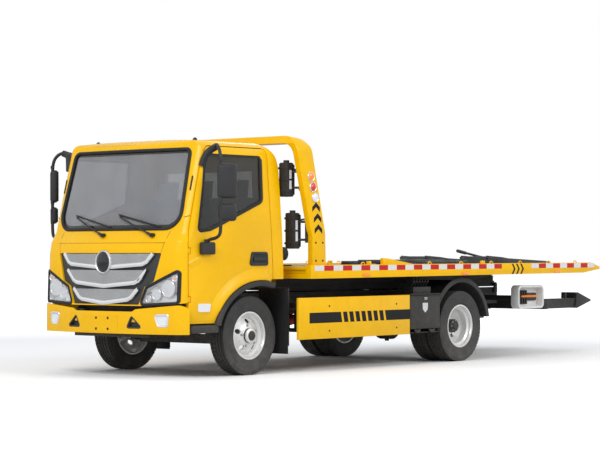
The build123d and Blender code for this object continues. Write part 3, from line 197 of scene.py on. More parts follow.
def mix(tree, factor, a, b, mode="MIX"):
    node = tree.nodes.new("ShaderNodeMix")
    node.data_type = "RGBA"
    node.blend_type = mode
    for socket, value in ((node.inputs[0], factor), (node.inputs[6], a), (node.inputs[7], b)):
        if isinstance(value, (int, float)):
            socket.default_value = value
        elif isinstance(value, tuple):
            socket.default_value = (*value, 1)
        else:
            link(tree, value, socket)
    return node.outputs[2]


def math_node(tree, operation, a, b=0.0):
    node = tree.nodes.new("ShaderNodeMath")
    node.operation = operation
    for socket, value in ((node.inputs[0], a), (node.inputs[1], b)):
        if isinstance(value, (int, float)):
            socket.default_value = value
        else:
            link(tree, value, socket)
    return node.outputs[0]


def bump(tree, shader, height, strength, distance=0.001):
    node = tree.nodes.new("ShaderNodeBump")
    node.inputs["Strength"].default_value = strength
    node.inputs["Distance"].default_value = distance
    link(tree, height, node.inputs["Height"])
    link(tree, node.outputs["Normal"], shader.inputs["Normal"])


def height_mask(tree, low, high):
    """1 below low, 0 above high, by the point's height."""
    source = tree.nodes.new("ShaderNodeTexCoord")
    split = tree.nodes.new("ShaderNodeSeparateXYZ")
    link(tree, source.outputs["Object"], split.inputs[0])
    node = tree.nodes.new("ShaderNodeMapRange")
    node.inputs["From Min"].default_value = low
    node.inputs["From Max"].default_value = high
    node.inputs["To Min"].default_value = 1
    node.inputs["To Max"].default_value = 0
    link(tree, split.outputs["Z"], node.inputs["Value"])
    return node.outputs["Result"]


DUST = (0.33, 0.29, 0.24)


def surface(name, colour, rough=0.5, metal=0.0, coat=0.0, vary=0.12, grain=0.0, grain_scale=900,
            dust=0.0, dust_low=0.3, dust_high=1.0, wear=0.0, wear_colour=(0.35, 0.34, 0.33), coarse=6,
            shine=0.3):
    """A finish with patches of tone, fine grain, dust towards the ground and worn spots."""
    material, tree, shader = new_material(name)
    vector = coordinates(tree)
    patches = noise(tree, vector, coarse, 5)
    dark = tuple(c * (1 - vary) for c in colour)
    light = tuple(min(1, c * (1 + vary * 0.5)) for c in colour)
    tone = ramp(tree, patches, [(0.3, dark), (0.7, light)])
    fine = noise(tree, vector, grain_scale, 3, 0.6)
    roughness = grey_ramp(tree, noise(tree, vector, coarse * 7, 6, 0.65), 0.25, 0.8,
                          max(0.02, rough * 0.82), min(1, rough * 1.25))
    if wear:
        spots = grey_ramp(tree, noise(tree, vector, 38, 8, 0.72), 0.66 - wear * 0.1, 0.70 - wear * 0.06)
        tone = mix(tree, spots, tone, wear_colour)
    if dust:
        mask = math_node(tree, "MULTIPLY", height_mask(tree, dust_low, dust_high),
                         grey_ramp(tree, noise(tree, vector, 14, 8, 0.7), 0.3, 0.75, 0.15, 1.0))
        mask = math_node(tree, "MULTIPLY", mask, dust)
        tone = mix(tree, mask, tone, DUST)
    link(tree, tone, shader.inputs["Base Color"])
    link(tree, roughness, shader.inputs["Roughness"])
    shader.inputs["Metallic"].default_value = metal
    shader.inputs["Specular IOR Level"].default_value = shine
    shader.inputs["Coat Weight"].default_value = coat
    shader.inputs["Coat Roughness"].default_value = 0.06
    if grain:
        bump(tree, shader, fine, grain, 0.0006)
    return material


def glass_material(name, colour, alpha, rough=0.02):
    material, tree, shader = new_material(name)
    vector = coordinates(tree)
    tone = ramp(tree, noise(tree, vector, 3, 3), [(0.3, colour), (0.7, tuple(c * 1.25 for c in colour))])
    link(tree, tone, shader.inputs["Base Color"])
    shader.inputs["Roughness"].default_value = rough
    shader.inputs["IOR"].default_value = 1.5
    shader.inputs["Alpha"].default_value = alpha
    shader.inputs["Coat Weight"].default_value = 0.4
    return material


def lens_material(name, colour, pitch=0.006, alpha=1.0, glow=0.25):
    """A ribbed lamp lens."""
    material, tree, shader = new_material(name)
    vector = coordinates(tree)
    wave = tree.nodes.new("ShaderNodeTexWave")
    wave.inputs["Scale"].default_value = 1 / pitch / 6
    wave.inputs["Distortion"].default_value = 0
    wave.bands_direction = "Z"
    link(tree, vector, wave.inputs["Vector"])
    tone = mix(tree, wave.outputs["Fac"], tuple(c * 0.75 for c in colour), colour)
    link(tree, tone, shader.inputs["Base Color"])
    shader.inputs["Roughness"].default_value = 0.12
    shader.inputs["Alpha"].default_value = alpha
    shader.inputs["Coat Weight"].default_value = 0.8
    link(tree, tone, shader.inputs["Emission Color"])
    shader.inputs["Emission Strength"].default_value = glow
    bump(tree, shader, wave.outputs["Fac"], 0.35, 0.001)
    return material


def tape_material(name, colour):
    """Retroreflective tape with its honeycomb."""
    material, tree, shader = new_material(name)
    vector = coordinates(tree)
    cells = tree.nodes.new("ShaderNodeTexVoronoi")
    cells.feature = "DISTANCE_TO_EDGE"
    cells.inputs["Scale"].default_value = 260
    cells.inputs["Randomness"].default_value = 0.15
    link(tree, vector, cells.inputs["Vector"])
    lines = grey_ramp(tree, cells.outputs["Distance"], 0.02, 0.10, 0.0, 1.0)
    tone = mix(tree, lines, tuple(c * 0.7 for c in colour), colour)
    tone = mix(tree, grey_ramp(tree, noise(tree, vector, 22, 6, 0.7), 0.55, 0.8, 0, 0.12), tone, DUST)
    link(tree, tone, shader.inputs["Base Color"])
    shader.inputs["Roughness"].default_value = 0.3
    shader.inputs["Specular IOR Level"].default_value = 0.2
    return material


def tread_plate_material(name, colour, wear_colour):
    """Dark deck plate with raised bars and polished patches."""
    material, tree, shader = new_material(name)
    vector = coordinates(tree)
    brick = tree.nodes.new("ShaderNodeTexBrick")
    brick.inputs["Scale"].default_value = 14
    brick.inputs["Mortar Size"].default_value = 0.08
    link(tree, vector, brick.inputs["Vector"])
    scratches = noise(tree, vector, 30, 9, 0.75)
    worn = grey_ramp(tree, scratches, 0.52, 0.72, 0, 0.8)
    tone = mix(tree, worn, colour, wear_colour)
    tone = mix(tree, grey_ramp(tree, noise(tree, vector, 2.2, 6, 0.7), 0.45, 0.75, 0, 0.3), tone, DUST)
    link(tree, tone, shader.inputs["Base Color"])
    link(tree, grey_ramp(tree, scratches, 0.3, 0.7, 0.62, 0.38), shader.inputs["Roughness"])
    bump(tree, shader, brick.outputs["Fac"], 0.25, 0.002)
    return material


def woven_material(name, colour):
    material, tree, shader = new_material(name)
    vector = coordinates(tree)
    checker = tree.nodes.new("ShaderNodeTexChecker")
    checker.inputs["Scale"].default_value = 420
    link(tree, vector, checker.inputs["Vector"])
    tone = mix(tree, checker.outputs["Fac"], tuple(c * 0.75 for c in colour), colour)
    faded = grey_ramp(tree, noise(tree, vector, 8, 5), 0.4, 0.7, 0, 0.35)
    tone = mix(tree, faded, tone, tuple(c * 1.6 for c in colour))
    link(tree, tone, shader.inputs["Base Color"])
    shader.inputs["Roughness"].default_value = 0.85
    shader.inputs["Sheen Weight"].default_value = 0.3
    bump(tree, shader, checker.outputs["Fac"], 0.4, 0.0005)
    return material


def tyre_material():
    material, tree, shader = new_material("tyre rubber")
    vector = coordinates(tree)
    patches = noise(tree, vector, 9, 6, 0.7)
    tone = ramp(tree, patches, [(0.3, (0.022, 0.022, 0.023)), (0.7, (0.045, 0.044, 0.043))])
    mask = math_node(tree, "MULTIPLY", height_mask(tree, 0.0, 0.55), grey_ramp(tree, patches, 0.3, 0.7, 0.1, 0.5))
    tone = mix(tree, mask, tone, (0.16, 0.145, 0.125))
    link(tree, tone, shader.inputs["Base Color"])
    shader.inputs["Roughness"].default_value = 0.72
    bump(tree, shader, noise(tree, vector, 700, 3), 0.25, 0.0008)
    return material


YELLOW = (0.95, 0.525, 0.0)
M = {
    "yellow": surface("cab yellow", YELLOW, 0.28, coat=0.12, vary=0.04, dust=0.03, dust_low=0.35, dust_high=0.9,
                      coarse=3, grain=0.02, grain_scale=500, shine=0.18),
    "bed_yellow": surface("bed yellow", YELLOW, 0.36, coat=0.06, vary=0.06, dust=0.04, wear=0.12,
                          wear_colour=(0.25, 0.15, 0.03), grain=0.04, grain_scale=420, shine=0.18),
    "black": surface("frame black", (0.018, 0.018, 0.019), 0.5, vary=0.3, dust=0.22, dust_low=0.2, dust_high=1.0,
                     grain=0.15, wear=0.15, wear_colour=(0.12, 0.10, 0.085)),
    "plastic": surface("moulded black", (0.028, 0.028, 0.030), 0.52, vary=0.2, grain=0.35, grain_scale=1300,
                       dust=0.18),
    "gloss_black": surface("gloss black", (0.012, 0.012, 0.013), 0.16, coat=0.5, vary=0.1),
    "rubber": surface("seal rubber", (0.018, 0.018, 0.019), 0.62, vary=0.2, grain=0.2),
    "cast": surface("rough casting", (0.05, 0.047, 0.045), 0.7, metal=0.3, vary=0.4, grain=0.7, grain_scale=220,
                    dust=0.6, dust_low=0.1, dust_high=0.8),
    "silver": surface("wheel silver", (0.80, 0.80, 0.79), 0.30, metal=0.45, vary=0.06, grain=0.04, dust=0.08,
                      dust_low=0.0, dust_high=0.75),
    "chrome": surface("grille silver", (0.78, 0.79, 0.80), 0.24, metal=0.80, vary=0.05),
    "mesh": surface("grille wire", (0.74, 0.75, 0.76), 0.4, metal=0.35, vary=0.08),
    "steel": surface("bare steel", (0.45, 0.45, 0.45), 0.3, metal=1.0, vary=0.25, grain=0.2, wear=0.2,
                     wear_colour=(0.16, 0.09, 0.05)),
    "charcoal": surface("grille charcoal", (0.045, 0.047, 0.050), 0.42, vary=0.12, grain=0.12),
    "deck": tread_plate_material("deck plate", (0.035, 0.035, 0.037), (0.13, 0.13, 0.13)),
    "ramp": surface("loading ramp", (0.055, 0.056, 0.058), 0.5, vary=0.35, grain=0.4, grain_scale=300, wear=0.5,
                    wear_colour=(0.2, 0.2, 0.2)),
    "white": surface("lamp box white", (0.78, 0.78, 0.77), 0.35, coat=0.3, vary=0.08, dust=0.15),
    "red": surface("ram red", (0.42, 0.022, 0.018), 0.35, coat=0.3, vary=0.2, grain=0.08, dust=0.2),
    "interior": surface("cabin plastic", (0.10, 0.10, 0.105), 0.6, vary=0.15, grain=0.3, grain_scale=900),
    "glass": glass_material("window glass", (0.020, 0.024, 0.022), 0.55),
    "windshield": glass_material("windshield glass", (0.27, 0.28, 0.30), 0.50),
    "lens": glass_material("clear lens", (0.75, 0.77, 0.80), 0.22),
    "amber": lens_material("amber lens", (0.95, 0.25, 0.01)),
    "red_lens": lens_material("red lens", (0.65, 0.01, 0.02)),
    "clear_lens": lens_material("frosted lens", (0.75, 0.76, 0.78)),
    "white_tape": tape_material("white tape", (0.80, 0.80, 0.82)),
    "red_tape": tape_material("red tape", (0.60, 0.015, 0.02)),
    "black_tape": surface("black film", (0.010, 0.010, 0.011), 0.4, vary=0.1, shine=0.15),
    "seat": woven_material("seat cloth", (0.07, 0.075, 0.085)),
    "tyre": tyre_material(),
}


# Mesh helpers

def finish_object(mesh, name, material, body, slot=None, smooth=40):
    mesh.materials.clear()
    mesh.materials.append(M[material])
    if smooth:
        mesh.polygons.foreach_set("use_smooth", [True] * len(mesh.polygons))
        mesh.set_sharp_from_angle(angle=math.radians(smooth))
    piece = bpy.data.objects.new(name, mesh)
    bpy.context.scene.collection.objects.link(piece)
    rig.ride(piece, body)
    if slot:
        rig.slot(piece, slot)
    return piece


def applied(mesh, steps):
    """The mesh after a list of (modifier type, settings)."""
    holder = bpy.data.objects.new("work", mesh)
    bpy.context.scene.collection.objects.link(holder)
    for kind, settings in steps:
        modifier = holder.modifiers.new(kind.lower(), kind)
        for key, value in settings.items():
            setattr(modifier, key, value)
    evaluated = holder.evaluated_get(bpy.context.evaluated_depsgraph_get())
    result = bpy.data.meshes.new_from_object(evaluated)
    bpy.data.objects.remove(holder)
    bpy.data.meshes.remove(mesh)
    return result


def rounded(mesh, width, segments=2, angle=35):
    return applied(mesh, [("BEVEL", {"width": width, "segments": segments, "limit_method": "ANGLE",
                                     "angle_limit": math.radians(angle), "harden_normals": False})])


def mesh_from(name, bm, tidy=True):
    if tidy:
        bmesh.ops.remove_doubles(bm, verts=bm.verts, dist=0.00002)
        bmesh.ops.recalc_face_normals(bm, faces=bm.faces)
    mesh = bpy.data.meshes.new(name)
    bm.to_mesh(mesh)
    bm.free()
    return mesh


def merged(*meshes):
    bm = bmesh.new()
    for mesh in meshes:
        bm.from_mesh(mesh)
        bpy.data.meshes.remove(mesh)
    mesh = bpy.data.meshes.new("joined")
    bm.to_mesh(mesh)
    bm.free()
    return mesh


def box_mesh(low, high, bevel=0.0, segments=2):
    bm = bmesh.new()
    bmesh.ops.create_cube(bm, size=1)
    low, high = Vector(low), Vector(high)
    low, high = Vector(map(min, low, high)), Vector(map(max, low, high))
    size, middle = high - low, (low + high) / 2
    for v in bm.verts:
        v.co = Vector((v.co.x * size.x, v.co.y * size.y, v.co.z * size.z)) + middle
    mesh = mesh_from("box", bm)
    return rounded(mesh, bevel, segments) if bevel else mesh


def prism_mesh(outline, push, bevel=0.0, segments=2):
    """A closed outline of points, pushed along a vector."""
    bm = bmesh.new()
    lower = [bm.verts.new(p) for p in outline]
    upper = [bm.verts.new(Vector(p) + Vector(push)) for p in outline]
    bm.faces.new(lower)
    bm.faces.new(upper[::-1])
    count = len(outline)
    for i in range(count):
        j = (i + 1) % count
        bm.faces.new((lower[j], lower[i], upper[i], upper[j]))
    mesh = mesh_from("prism", bm)
    return rounded(mesh, bevel, segments) if bevel else mesh


def tube_mesh(points, radius, sides=10, closed=False, smooth_path=False, resolution=6):
    """A round tube along points."""
    curve = bpy.data.curves.new("tube", "CURVE")
    curve.dimensions = "3D"
    curve.bevel_depth = radius
    curve.bevel_resolution = max(1, sides // 4 - 1)
    curve.resolution_u = resolution
    curve.use_fill_caps = not closed
    spline = curve.splines.new("NURBS" if smooth_path else "POLY")
    spline.points.add(len(points) - 1)
    for target, point in zip(spline.points, points):
        target.co = (*point, 1)
    spline.use_cyclic_u = closed
    if smooth_path:
        spline.order_u = 3
        spline.use_endpoint_u = not closed
    holder = bpy.data.objects.new("tube", curve)
    bpy.context.scene.collection.objects.link(holder)
    mesh = bpy.data.meshes.new_from_object(holder.evaluated_get(bpy.context.evaluated_depsgraph_get()))
    bpy.data.objects.remove(holder)
    bpy.data.curves.remove(curve)
    bm = bmesh.new()
    bm.from_mesh(mesh)
    bpy.data.meshes.remove(mesh)
    return mesh_from("tube", bm)


def lathe_mesh(profile, centre, axis="X", sides=64, start=0.0, sweep=math.tau):
    """A profile of (along, radius) turned about an axis through centre."""
    bm = bmesh.new()
    whole = abs(sweep - math.tau) < 1e-6
    steps = sides if whole else sides + 1
    rings = []
    for i in range(steps):
        angle = start + sweep * i / sides
        c, s = math.cos(angle), math.sin(angle)
        ring = []
        for along, radius in profile:
            if axis == "X":
                point = Vector((along, radius * c, radius * s))
            elif axis == "Y":
                point = Vector((radius * c, along, radius * s))
            else:
                point = Vector((radius * c, radius * s, along))
            ring.append(bm.verts.new(point + Vector(centre)))
        rings.append(ring)
    for i in range(sides):
        a, b = rings[i], rings[(i + 1) % steps]
        for j in range(len(profile) - 1):
            bm.faces.new((a[j], a[j + 1], b[j + 1], b[j]))
    for end in (0, -1):
        if whole and profile[end][1] > 1e-5 and profile[0] != profile[-1]:
            bm.faces.new([ring[end] for ring in rings])
    return mesh_from("lathe", bm)


def turned_copies(mesh, centre, axis, count, material, first=0.0):
    """Copies of a mesh about an axis, by a small node tree."""
    tree = bpy.data.node_groups.new("copies round an axis", "GeometryNodeTree")
    tree.interface.new_socket("Geometry", in_out="INPUT", socket_type="NodeSocketGeometry")
    tree.interface.new_socket("Geometry", in_out="OUTPUT", socket_type="NodeSocketGeometry")
    count_socket = tree.interface.new_socket("Count", in_out="INPUT", socket_type="NodeSocketInt")
    first_socket = tree.interface.new_socket("First angle", in_out="INPUT", socket_type="NodeSocketFloat")
    inside = tree.nodes.new("NodeGroupInput")
    outside = tree.nodes.new("NodeGroupOutput")
    points = tree.nodes.new("GeometryNodePoints")
    instance = tree.nodes.new("GeometryNodeInstanceOnPoints")
    index = tree.nodes.new("GeometryNodeInputIndex")
    divide = tree.nodes.new("ShaderNodeMath")
    divide.operation = "DIVIDE"
    times = tree.nodes.new("ShaderNodeMath")
    times.operation = "MULTIPLY_ADD"
    times.inputs[1].default_value = math.tau
    turn = tree.nodes.new("FunctionNodeAxisAngleToRotation")
    turn.inputs["Axis"].default_value = {"X": (1, 0, 0), "Y": (0, 1, 0), "Z": (0, 0, 1)}[axis]
    real = tree.nodes.new("GeometryNodeRealizeInstances")
    links = tree.links
    links.new(inside.outputs["Count"], points.inputs["Count"])
    links.new(points.outputs[0], instance.inputs["Points"])
    links.new(inside.outputs["Geometry"], instance.inputs["Instance"])
    links.new(index.outputs[0], divide.inputs[0])
    links.new(inside.outputs["Count"], divide.inputs[1])
    links.new(divide.outputs[0], times.inputs[0])
    links.new(inside.outputs["First angle"], times.inputs[2])
    links.new(times.outputs[0], turn.inputs["Angle"])
    links.new(turn.outputs[0], instance.inputs["Rotation"])
    paint = tree.nodes.new("GeometryNodeSetMaterial")
    paint.inputs["Material"].default_value = M[material]
    links.new(instance.outputs[0], real.inputs[0])
    links.new(real.outputs[0], paint.inputs["Geometry"])
    links.new(paint.outputs[0], outside.inputs[0])
    mesh.transform(Matrix.Translation(-Vector(centre)))
    holder = bpy.data.objects.new("work", mesh)
    bpy.context.scene.collection.objects.link(holder)
    modifier = holder.modifiers.new("copies", "NODES")
    modifier.node_group = tree
    modifier[count_socket.identifier] = count
    modifier[first_socket.identifier] = first
    result = bpy.data.meshes.new_from_object(holder.evaluated_get(bpy.context.evaluated_depsgraph_get()))
    bpy.data.objects.remove(holder)
    bpy.data.meshes.remove(mesh)
    bpy.data.node_groups.remove(tree)
    result.transform(Matrix.Translation(Vector(centre)))
    return result


def mirrored(mesh):
    """The same mesh on the other side."""
    copy = mesh.copy()
    copy.transform(Matrix.Scale(-1, 4, Vector((1, 0, 0))))
    copy.flip_normals()
    return copy


def both_sides(make, name, material, bodies, slot=None, smooth=40):
    """The left piece made by a function and its mirror image, each on its own body."""
    mesh = make()
    if isinstance(bodies, str):
        return [finish_object(merged(mesh.copy(), mirrored(mesh)), name, material, bodies, slot, smooth)]
    right = finish_object(mirrored(mesh), name + "_right", material, bodies[1], slot, smooth)
    return [finish_object(mesh, name + "_left", material, bodies[0], slot, smooth), right]


# Carried-over nodes with softened edges

def refined(node, material, bevel=0.003, segments=2, angle=35, slot=None):
    """A copy of a node with merged faces and rounded edges stands for it."""
    source = NODES[node]
    bm = bmesh.new()
    bm.from_mesh(source.data)
    bmesh.ops.remove_doubles(bm, verts=bm.verts, dist=0.00005)
    bmesh.ops.dissolve_limit(bm, angle_limit=math.radians(1.0), verts=bm.verts, edges=bm.edges)
    mesh = bpy.data.meshes.new(node)
    bm.to_mesh(mesh)
    bm.free()
    if bevel:
        mesh = rounded(mesh, bevel, segments, angle)
    piece = finish_object(mesh, "dressed_" + node, material, source["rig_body"], slot, 32)
    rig.replaces(piece, node)
    return piece


def carried_over_nodes():
    plan = {
        "yellow": ("bumper cab_front cab_rear_wall cab_roof cab_pillars door_left door_right", 0.006, 3),
        "bed_yellow": ("side_guards gantry side_wedges", 0.004, 2),
        "black": ("chassis_frame crossmembers frame_brackets tilt_frame tool_box tool_box_lid boom stinger crossbar "
                  "winch_frame", 0.003, 2),
        "plastic": ("mudguards valve_bank canisters", 0.005, 3),
        "cast": ("front_axle rear_axle power_unit knuckle_left knuckle_right tie_rod", 0.003, 2),
        "silver": ("rim_front_left rim_front_right rim_rear_left rim_rear_right", 0.002, 2),
        "glass": ("door_glass_left door_glass_right", 0.0, 1),
        "windshield": ("cab_glass", 0.0, 1),
        "lens": ("headlamps", 0.0, 1),
        "charcoal": ("grille", 0.003, 2),
        "seat": ("seats", 0.02, 4),
        "interior": ("dashboard steering_wheel cab_floor", 0.008, 3),
        "ramp": ("wheel_stops fuel_tank", 0.004, 2),
        "white": ("lamp_boxes", 0.003, 2),
        "red": ("lift_ram_barrels tilt_ram_barrels", 0.002, 2),
        "steel": ("winch_drum lift_ram_rods tilt_ram_rods", 0.002, 2),
    }
    for material, (names, bevel, segments) in plan.items():
        for node in names.split():
            refined(node, material, bevel, segments)


carried_over_nodes()


# Cab shape helpers

NOSE_STATIONS = ((0.500, -1.130), (1.196, -1.104), (1.307, -1.082), (1.409, -1.016), (2.366, -0.715))
SAG, TOP_SAG, ARC_HALF = 0.078, 0.032, 0.815
CORNER_DEEP, CORNER_WIDE = 0.087, 0.120


def nose_y(x, z):
    """How far forward the cab's nose is, from the front axle."""
    for (z0, y0), (z1, y1) in zip(NOSE_STATIONS, NOSE_STATIONS[1:]):
        if z <= z1 or z1 == NOSE_STATIONS[-1][0]:
            part = (z - z0) / (z1 - z0)
            middle = y0 + (y1 - y0) * part
            break
    belt, top = NOSE_STATIONS[-2][0], NOSE_STATIONS[-1][0]
    sag = SAG + (TOP_SAG - SAG) * max(0, min(1, (z - belt) / (top - belt)))
    reach = min(abs(x), ARC_HALF)
    radius = (ARC_HALF ** 2 + sag ** 2) / (2 * sag)
    y = middle + radius - math.sqrt(radius ** 2 - reach ** 2)
    if abs(x) > ARC_HALF:
        past = min(1, (abs(x) - ARC_HALF) / CORNER_WIDE)
        y += CORNER_DEEP * (1 - math.sqrt(1 - past ** 2))
    return y


def on_nose(x, z, out=0.0):
    return at(x, nose_y(x, z) - out, z)


def rounded_loop(corners, radii, steps=8):
    """A closed flat outline with round corners, as (a, b) pairs."""
    points = []
    count = len(corners)
    for i, (corner, radius) in enumerate(zip(corners, radii)):
        p = Vector(corner)
        before = (Vector(corners[i - 1]) - p).normalized()
        after = (Vector(corners[(i + 1) % count]) - p).normalized()
        half = before.angle(after) / 2
        reach = radius / math.tan(half)
        a, b = p + before * reach, p + after * reach
        middle = p + (before + after).normalized() * (radius / math.sin(half))
        start = (a - middle)
        turn = start.angle_signed(b - middle)
        for k in range(steps + 1):
            spot = start.copy()
            spot.rotate(Matrix.Rotation(-turn * k / steps, 2))
            points.append(tuple(middle + spot))
    return points


def dense(loop, step):
    """The closed loop with points no further apart than step."""
    points = []
    for (a, b), (c, d) in zip(loop, loop[1:] + loop[:1]):
        count = max(1, math.ceil(math.hypot(c - a, d - b) / step))
        points += [(a + (c - a) * k / count, b + (d - b) * k / count) for k in range(count)]
    return points


def shrunk(loop, amount):
    """The loop moved inwards by amount."""
    result = []
    count = len(loop)
    area = sum(a[0] * b[1] - b[0] * a[1] for a, b in zip(loop, loop[1:] + loop[:1]))
    sign = 1 if area > 0 else -1
    for i, (x, z) in enumerate(loop):
        (a, b), (c, d) = loop[i - 1], loop[(i + 1) % count]
        along = Vector((c - a, d - b)).normalized()
        result.append((x - along.y * amount * sign, z + along.x * amount * sign))
    return result


def strip_mesh(rows, closed=True):
    """Quads between rows of points of equal length."""
    bm = bmesh.new()
    grid = [[bm.verts.new(p) for p in row] for row in rows]
    for a, b in zip(grid, grid[1:]):
        count = len(a)
        for i in range(count if closed else count - 1):
            j = (i + 1) % count
            bm.faces.new((a[i], a[j], b[j], b[i]))
    return mesh_from("strip", bm)


def draped_plate(outline, place, thickness, step=0.03):
    """A flat outline laid on a curved surface: place(a, b, out) gives its points."""
    loop = dense(outline, step)
    bm = bmesh.new()
    face = bm.faces.new([bm.verts.new((a, b, 0)) for a, b in loop])
    bmesh.ops.triangulate(bm, faces=[face])
    span = max(a for a, b in loop) - min(a for a, b in loop)
    cuts = [min(a for a, b in loop) + span * k / max(2, int(span / step / 2))
            for k in range(1, max(2, int(span / step / 2)))]
    for cut in cuts:
        bmesh.ops.bisect_plane(bm, geom=bm.verts[:] + bm.edges[:] + bm.faces[:],
                               plane_co=(cut, 0, 0), plane_no=(1, 0, 0))
    flat = [v.co.copy() for v in bm.verts]
    bm.verts.index_update()
    faces = [[v.index for v in f.verts] for f in bm.faces]
    edges = [[v.index for v in e.verts] for e in bm.edges if len(e.link_faces) == 1]
    bm.free()
    solid = bmesh.new()
    front = [solid.verts.new(place(p.x, p.y, thickness)) for p in flat]
    back = [solid.verts.new(place(p.x, p.y, 0)) for p in flat]
    for ids in faces:
        solid.faces.new([front[i] for i in ids])
        solid.faces.new([back[i] for i in reversed(ids)])
    for a, b in edges:
        solid.faces.new((front[a], front[b], back[b], back[a]))
    return mesh_from("plate", solid)


WINDSHIELD = rounded_loop(((-0.838, 1.425), (0.838, 1.425), (0.798, 2.205), (-0.798, 2.205)),
                          (0.17, 0.17, 0.065, 0.065))
SIDE_WINDOW = rounded_loop(((-0.797, 1.400), (-0.640, 1.418), (0.128, 1.702), (0.146, 2.155), (-0.625, 2.155),
                            (-0.690, 2.040)), (0.035, 0.06, 0.06, 0.04, 0.06, 0.08))


def windshield_seal():
    """Rubber round the windshield and the dark border on its glass."""
    loop = dense(WINDSHIELD, 0.05)
    rows = []
    for inwards, out in ((-0.010, 0.002), (-0.006, 0.009), (0.004, 0.012), (0.016, 0.009), (0.022, 0.001),
                         (0.022, -0.012), (-0.004, -0.012)):
        rows.append([on_nose(x, z, out) for x, z in shrunk(loop, inwards)])
    rows.append(rows[0])
    finish_object(strip_mesh(rows), "windshield_seal", "rubber", "cab", "black_plastic", 60)
    border = [[on_nose(x, z, -0.011) for x, z in shrunk(loop, k)] for k in (0.0, 0.045)]
    finish_object(strip_mesh(border), "windshield_border", "gloss_black", "cab", "black_plastic")


def wipers():
    """Two arms with their blades, parked towards the vehicle's right."""
    meshes = []
    for pivot_x in (0.563, -0.068):
        pivot, cap = on_nose(pivot_x, 1.372, 0.004), on_nose(pivot_x, 1.372, 0.046)
        elbow = on_nose(pivot_x - 0.055, 1.392, 0.044)
        tip = on_nose(pivot_x - 0.472, 1.550, 0.022)
        meshes.append(tube_mesh([pivot, cap], 0.019, 14))
        meshes.append(tube_mesh([cap, elbow], 0.014, 10))
        meshes.append(tube_mesh([elbow, (elbow + tip) / 2 + Vector((0, -0.006, 0)), tip], 0.008, 8))
        low, high = on_nose(pivot_x + 0.045, 1.452, 0.010), on_nose(pivot_x - 0.500, 1.572, 0.010)
        middle = on_nose(pivot_x - 0.22, 1.512, 0.012)
        meshes.append(tube_mesh([low, middle, high], 0.008, 6))
        meshes.append(tube_mesh([tip, tip + Vector((0.02, 0.006, 0.012))], 0.010, 8))
    finish_object(merged(*meshes), "wipers", "plastic", "cab", "black_plastic")


def seam(points, width, name, body, material="rubber"):
    """A thin dark joint line."""
    finish_object(tube_mesh(points, width / 2, 6), name, material, body, "black_plastic")


def nose_seams():
    line = [on_nose(-0.73 + 1.46 * k / 24, 1.297, -0.0015) for k in range(25)]
    seam(line, 0.005, "hood_seam", "cab")
    for side, word in SIDES:
        corner = [on_nose(side * x, z, -0.0015) for x, z in
                  ((0.731, 1.408), (0.725, 1.350), (0.717, 1.299), (0.704, 1.250), (0.692, 1.204))]
        seam(corner, 0.005, "corner_seam_" + word, "cab")
        post = [on_nose(side * x, z, -0.0015) for x, z in ((0.852, 1.541), (0.880, 1.548), (0.905, 1.555))]
        seam(post, 0.005, "post_seam_" + word, "cab")
        slot = [on_nose(side * x, z, 0.0005) for x, z in ((0.866, 1.799), (0.866, 1.868), (0.866, 1.936))]
        finish_object(tube_mesh(slot, 0.008, 8), "post_vent_" + word, "plastic", "cab", "black_plastic")


OVAL_FRONT, OVAL_Z, OVAL_HALF = -1.136, 1.114, (0.099, 0.111)
GRILLE_TIERS = ((1.195, 1.052, 0.612, 0.543), (1.036, 0.874, 0.545, 0.452), (0.855, 0.712, 0.442, 0.364))


def tier_outline(top, low, half_top, half_low):
    rise = 0.048
    return [(-half_top, top), (-half_low, low + rise), (0, low), (half_low, low + rise), (half_top, top)]


def inside_outline(x, z, outline):
    inside = False
    for (a, b), (c, d) in zip(outline, outline[1:] + outline[:1]):
        if (b > z) != (d > z) and x < a + (c - a) * (z - b) / (d - b):
            inside = not inside
    return inside


def clipped_run(outline, start, direction, reach, step=0.004):
    """The stretches of a line inside an outline, as pairs of (x, z)."""
    runs, first, last = [], None, None
    for k in range(int(reach / step) + 1):
        x, z = start[0] + direction[0] * k * step, start[1] + direction[1] * k * step
        if inside_outline(x, z, outline):
            first = first or (x, z)
            last = (x, z)
        elif first:
            runs.append((first, last))
            first = None
    if first:
        runs.append((first, last))
    return runs


def wire_tree():
    """Edges made wires of a square section."""
    tree = bpy.data.node_groups.new("wires", "GeometryNodeTree")
    tree.interface.new_socket("Geometry", in_out="INPUT", socket_type="NodeSocketGeometry")
    tree.interface.new_socket("Geometry", in_out="OUTPUT", socket_type="NodeSocketGeometry")
    socket = tree.interface.new_socket("Wire radius", in_out="INPUT", socket_type="NodeSocketFloat")
    inside, outside = tree.nodes.new("NodeGroupInput"), tree.nodes.new("NodeGroupOutput")
    to_curve = tree.nodes.new("GeometryNodeMeshToCurve")
    section = tree.nodes.new("GeometryNodeCurvePrimitiveCircle")
    section.inputs["Resolution"].default_value = 4
    to_mesh = tree.nodes.new("GeometryNodeCurveToMesh")
    real = tree.nodes.new("GeometryNodeRealizeInstances")
    tree.links.new(inside.outputs["Geometry"], to_curve.inputs["Mesh"])
    tree.links.new(inside.outputs["Wire radius"], section.inputs["Radius"])
    tree.links.new(to_curve.outputs[0], to_mesh.inputs["Curve"])
    tree.links.new(section.outputs[0], to_mesh.inputs["Profile Curve"])
    paint = tree.nodes.new("GeometryNodeSetMaterial")
    paint.inputs["Material"].default_value = M["mesh"]
    tree.links.new(to_mesh.outputs[0], real.inputs[0])
    tree.links.new(real.outputs[0], paint.inputs["Geometry"])
    tree.links.new(paint.outputs[0], outside.inputs[0])
    return tree, socket.identifier


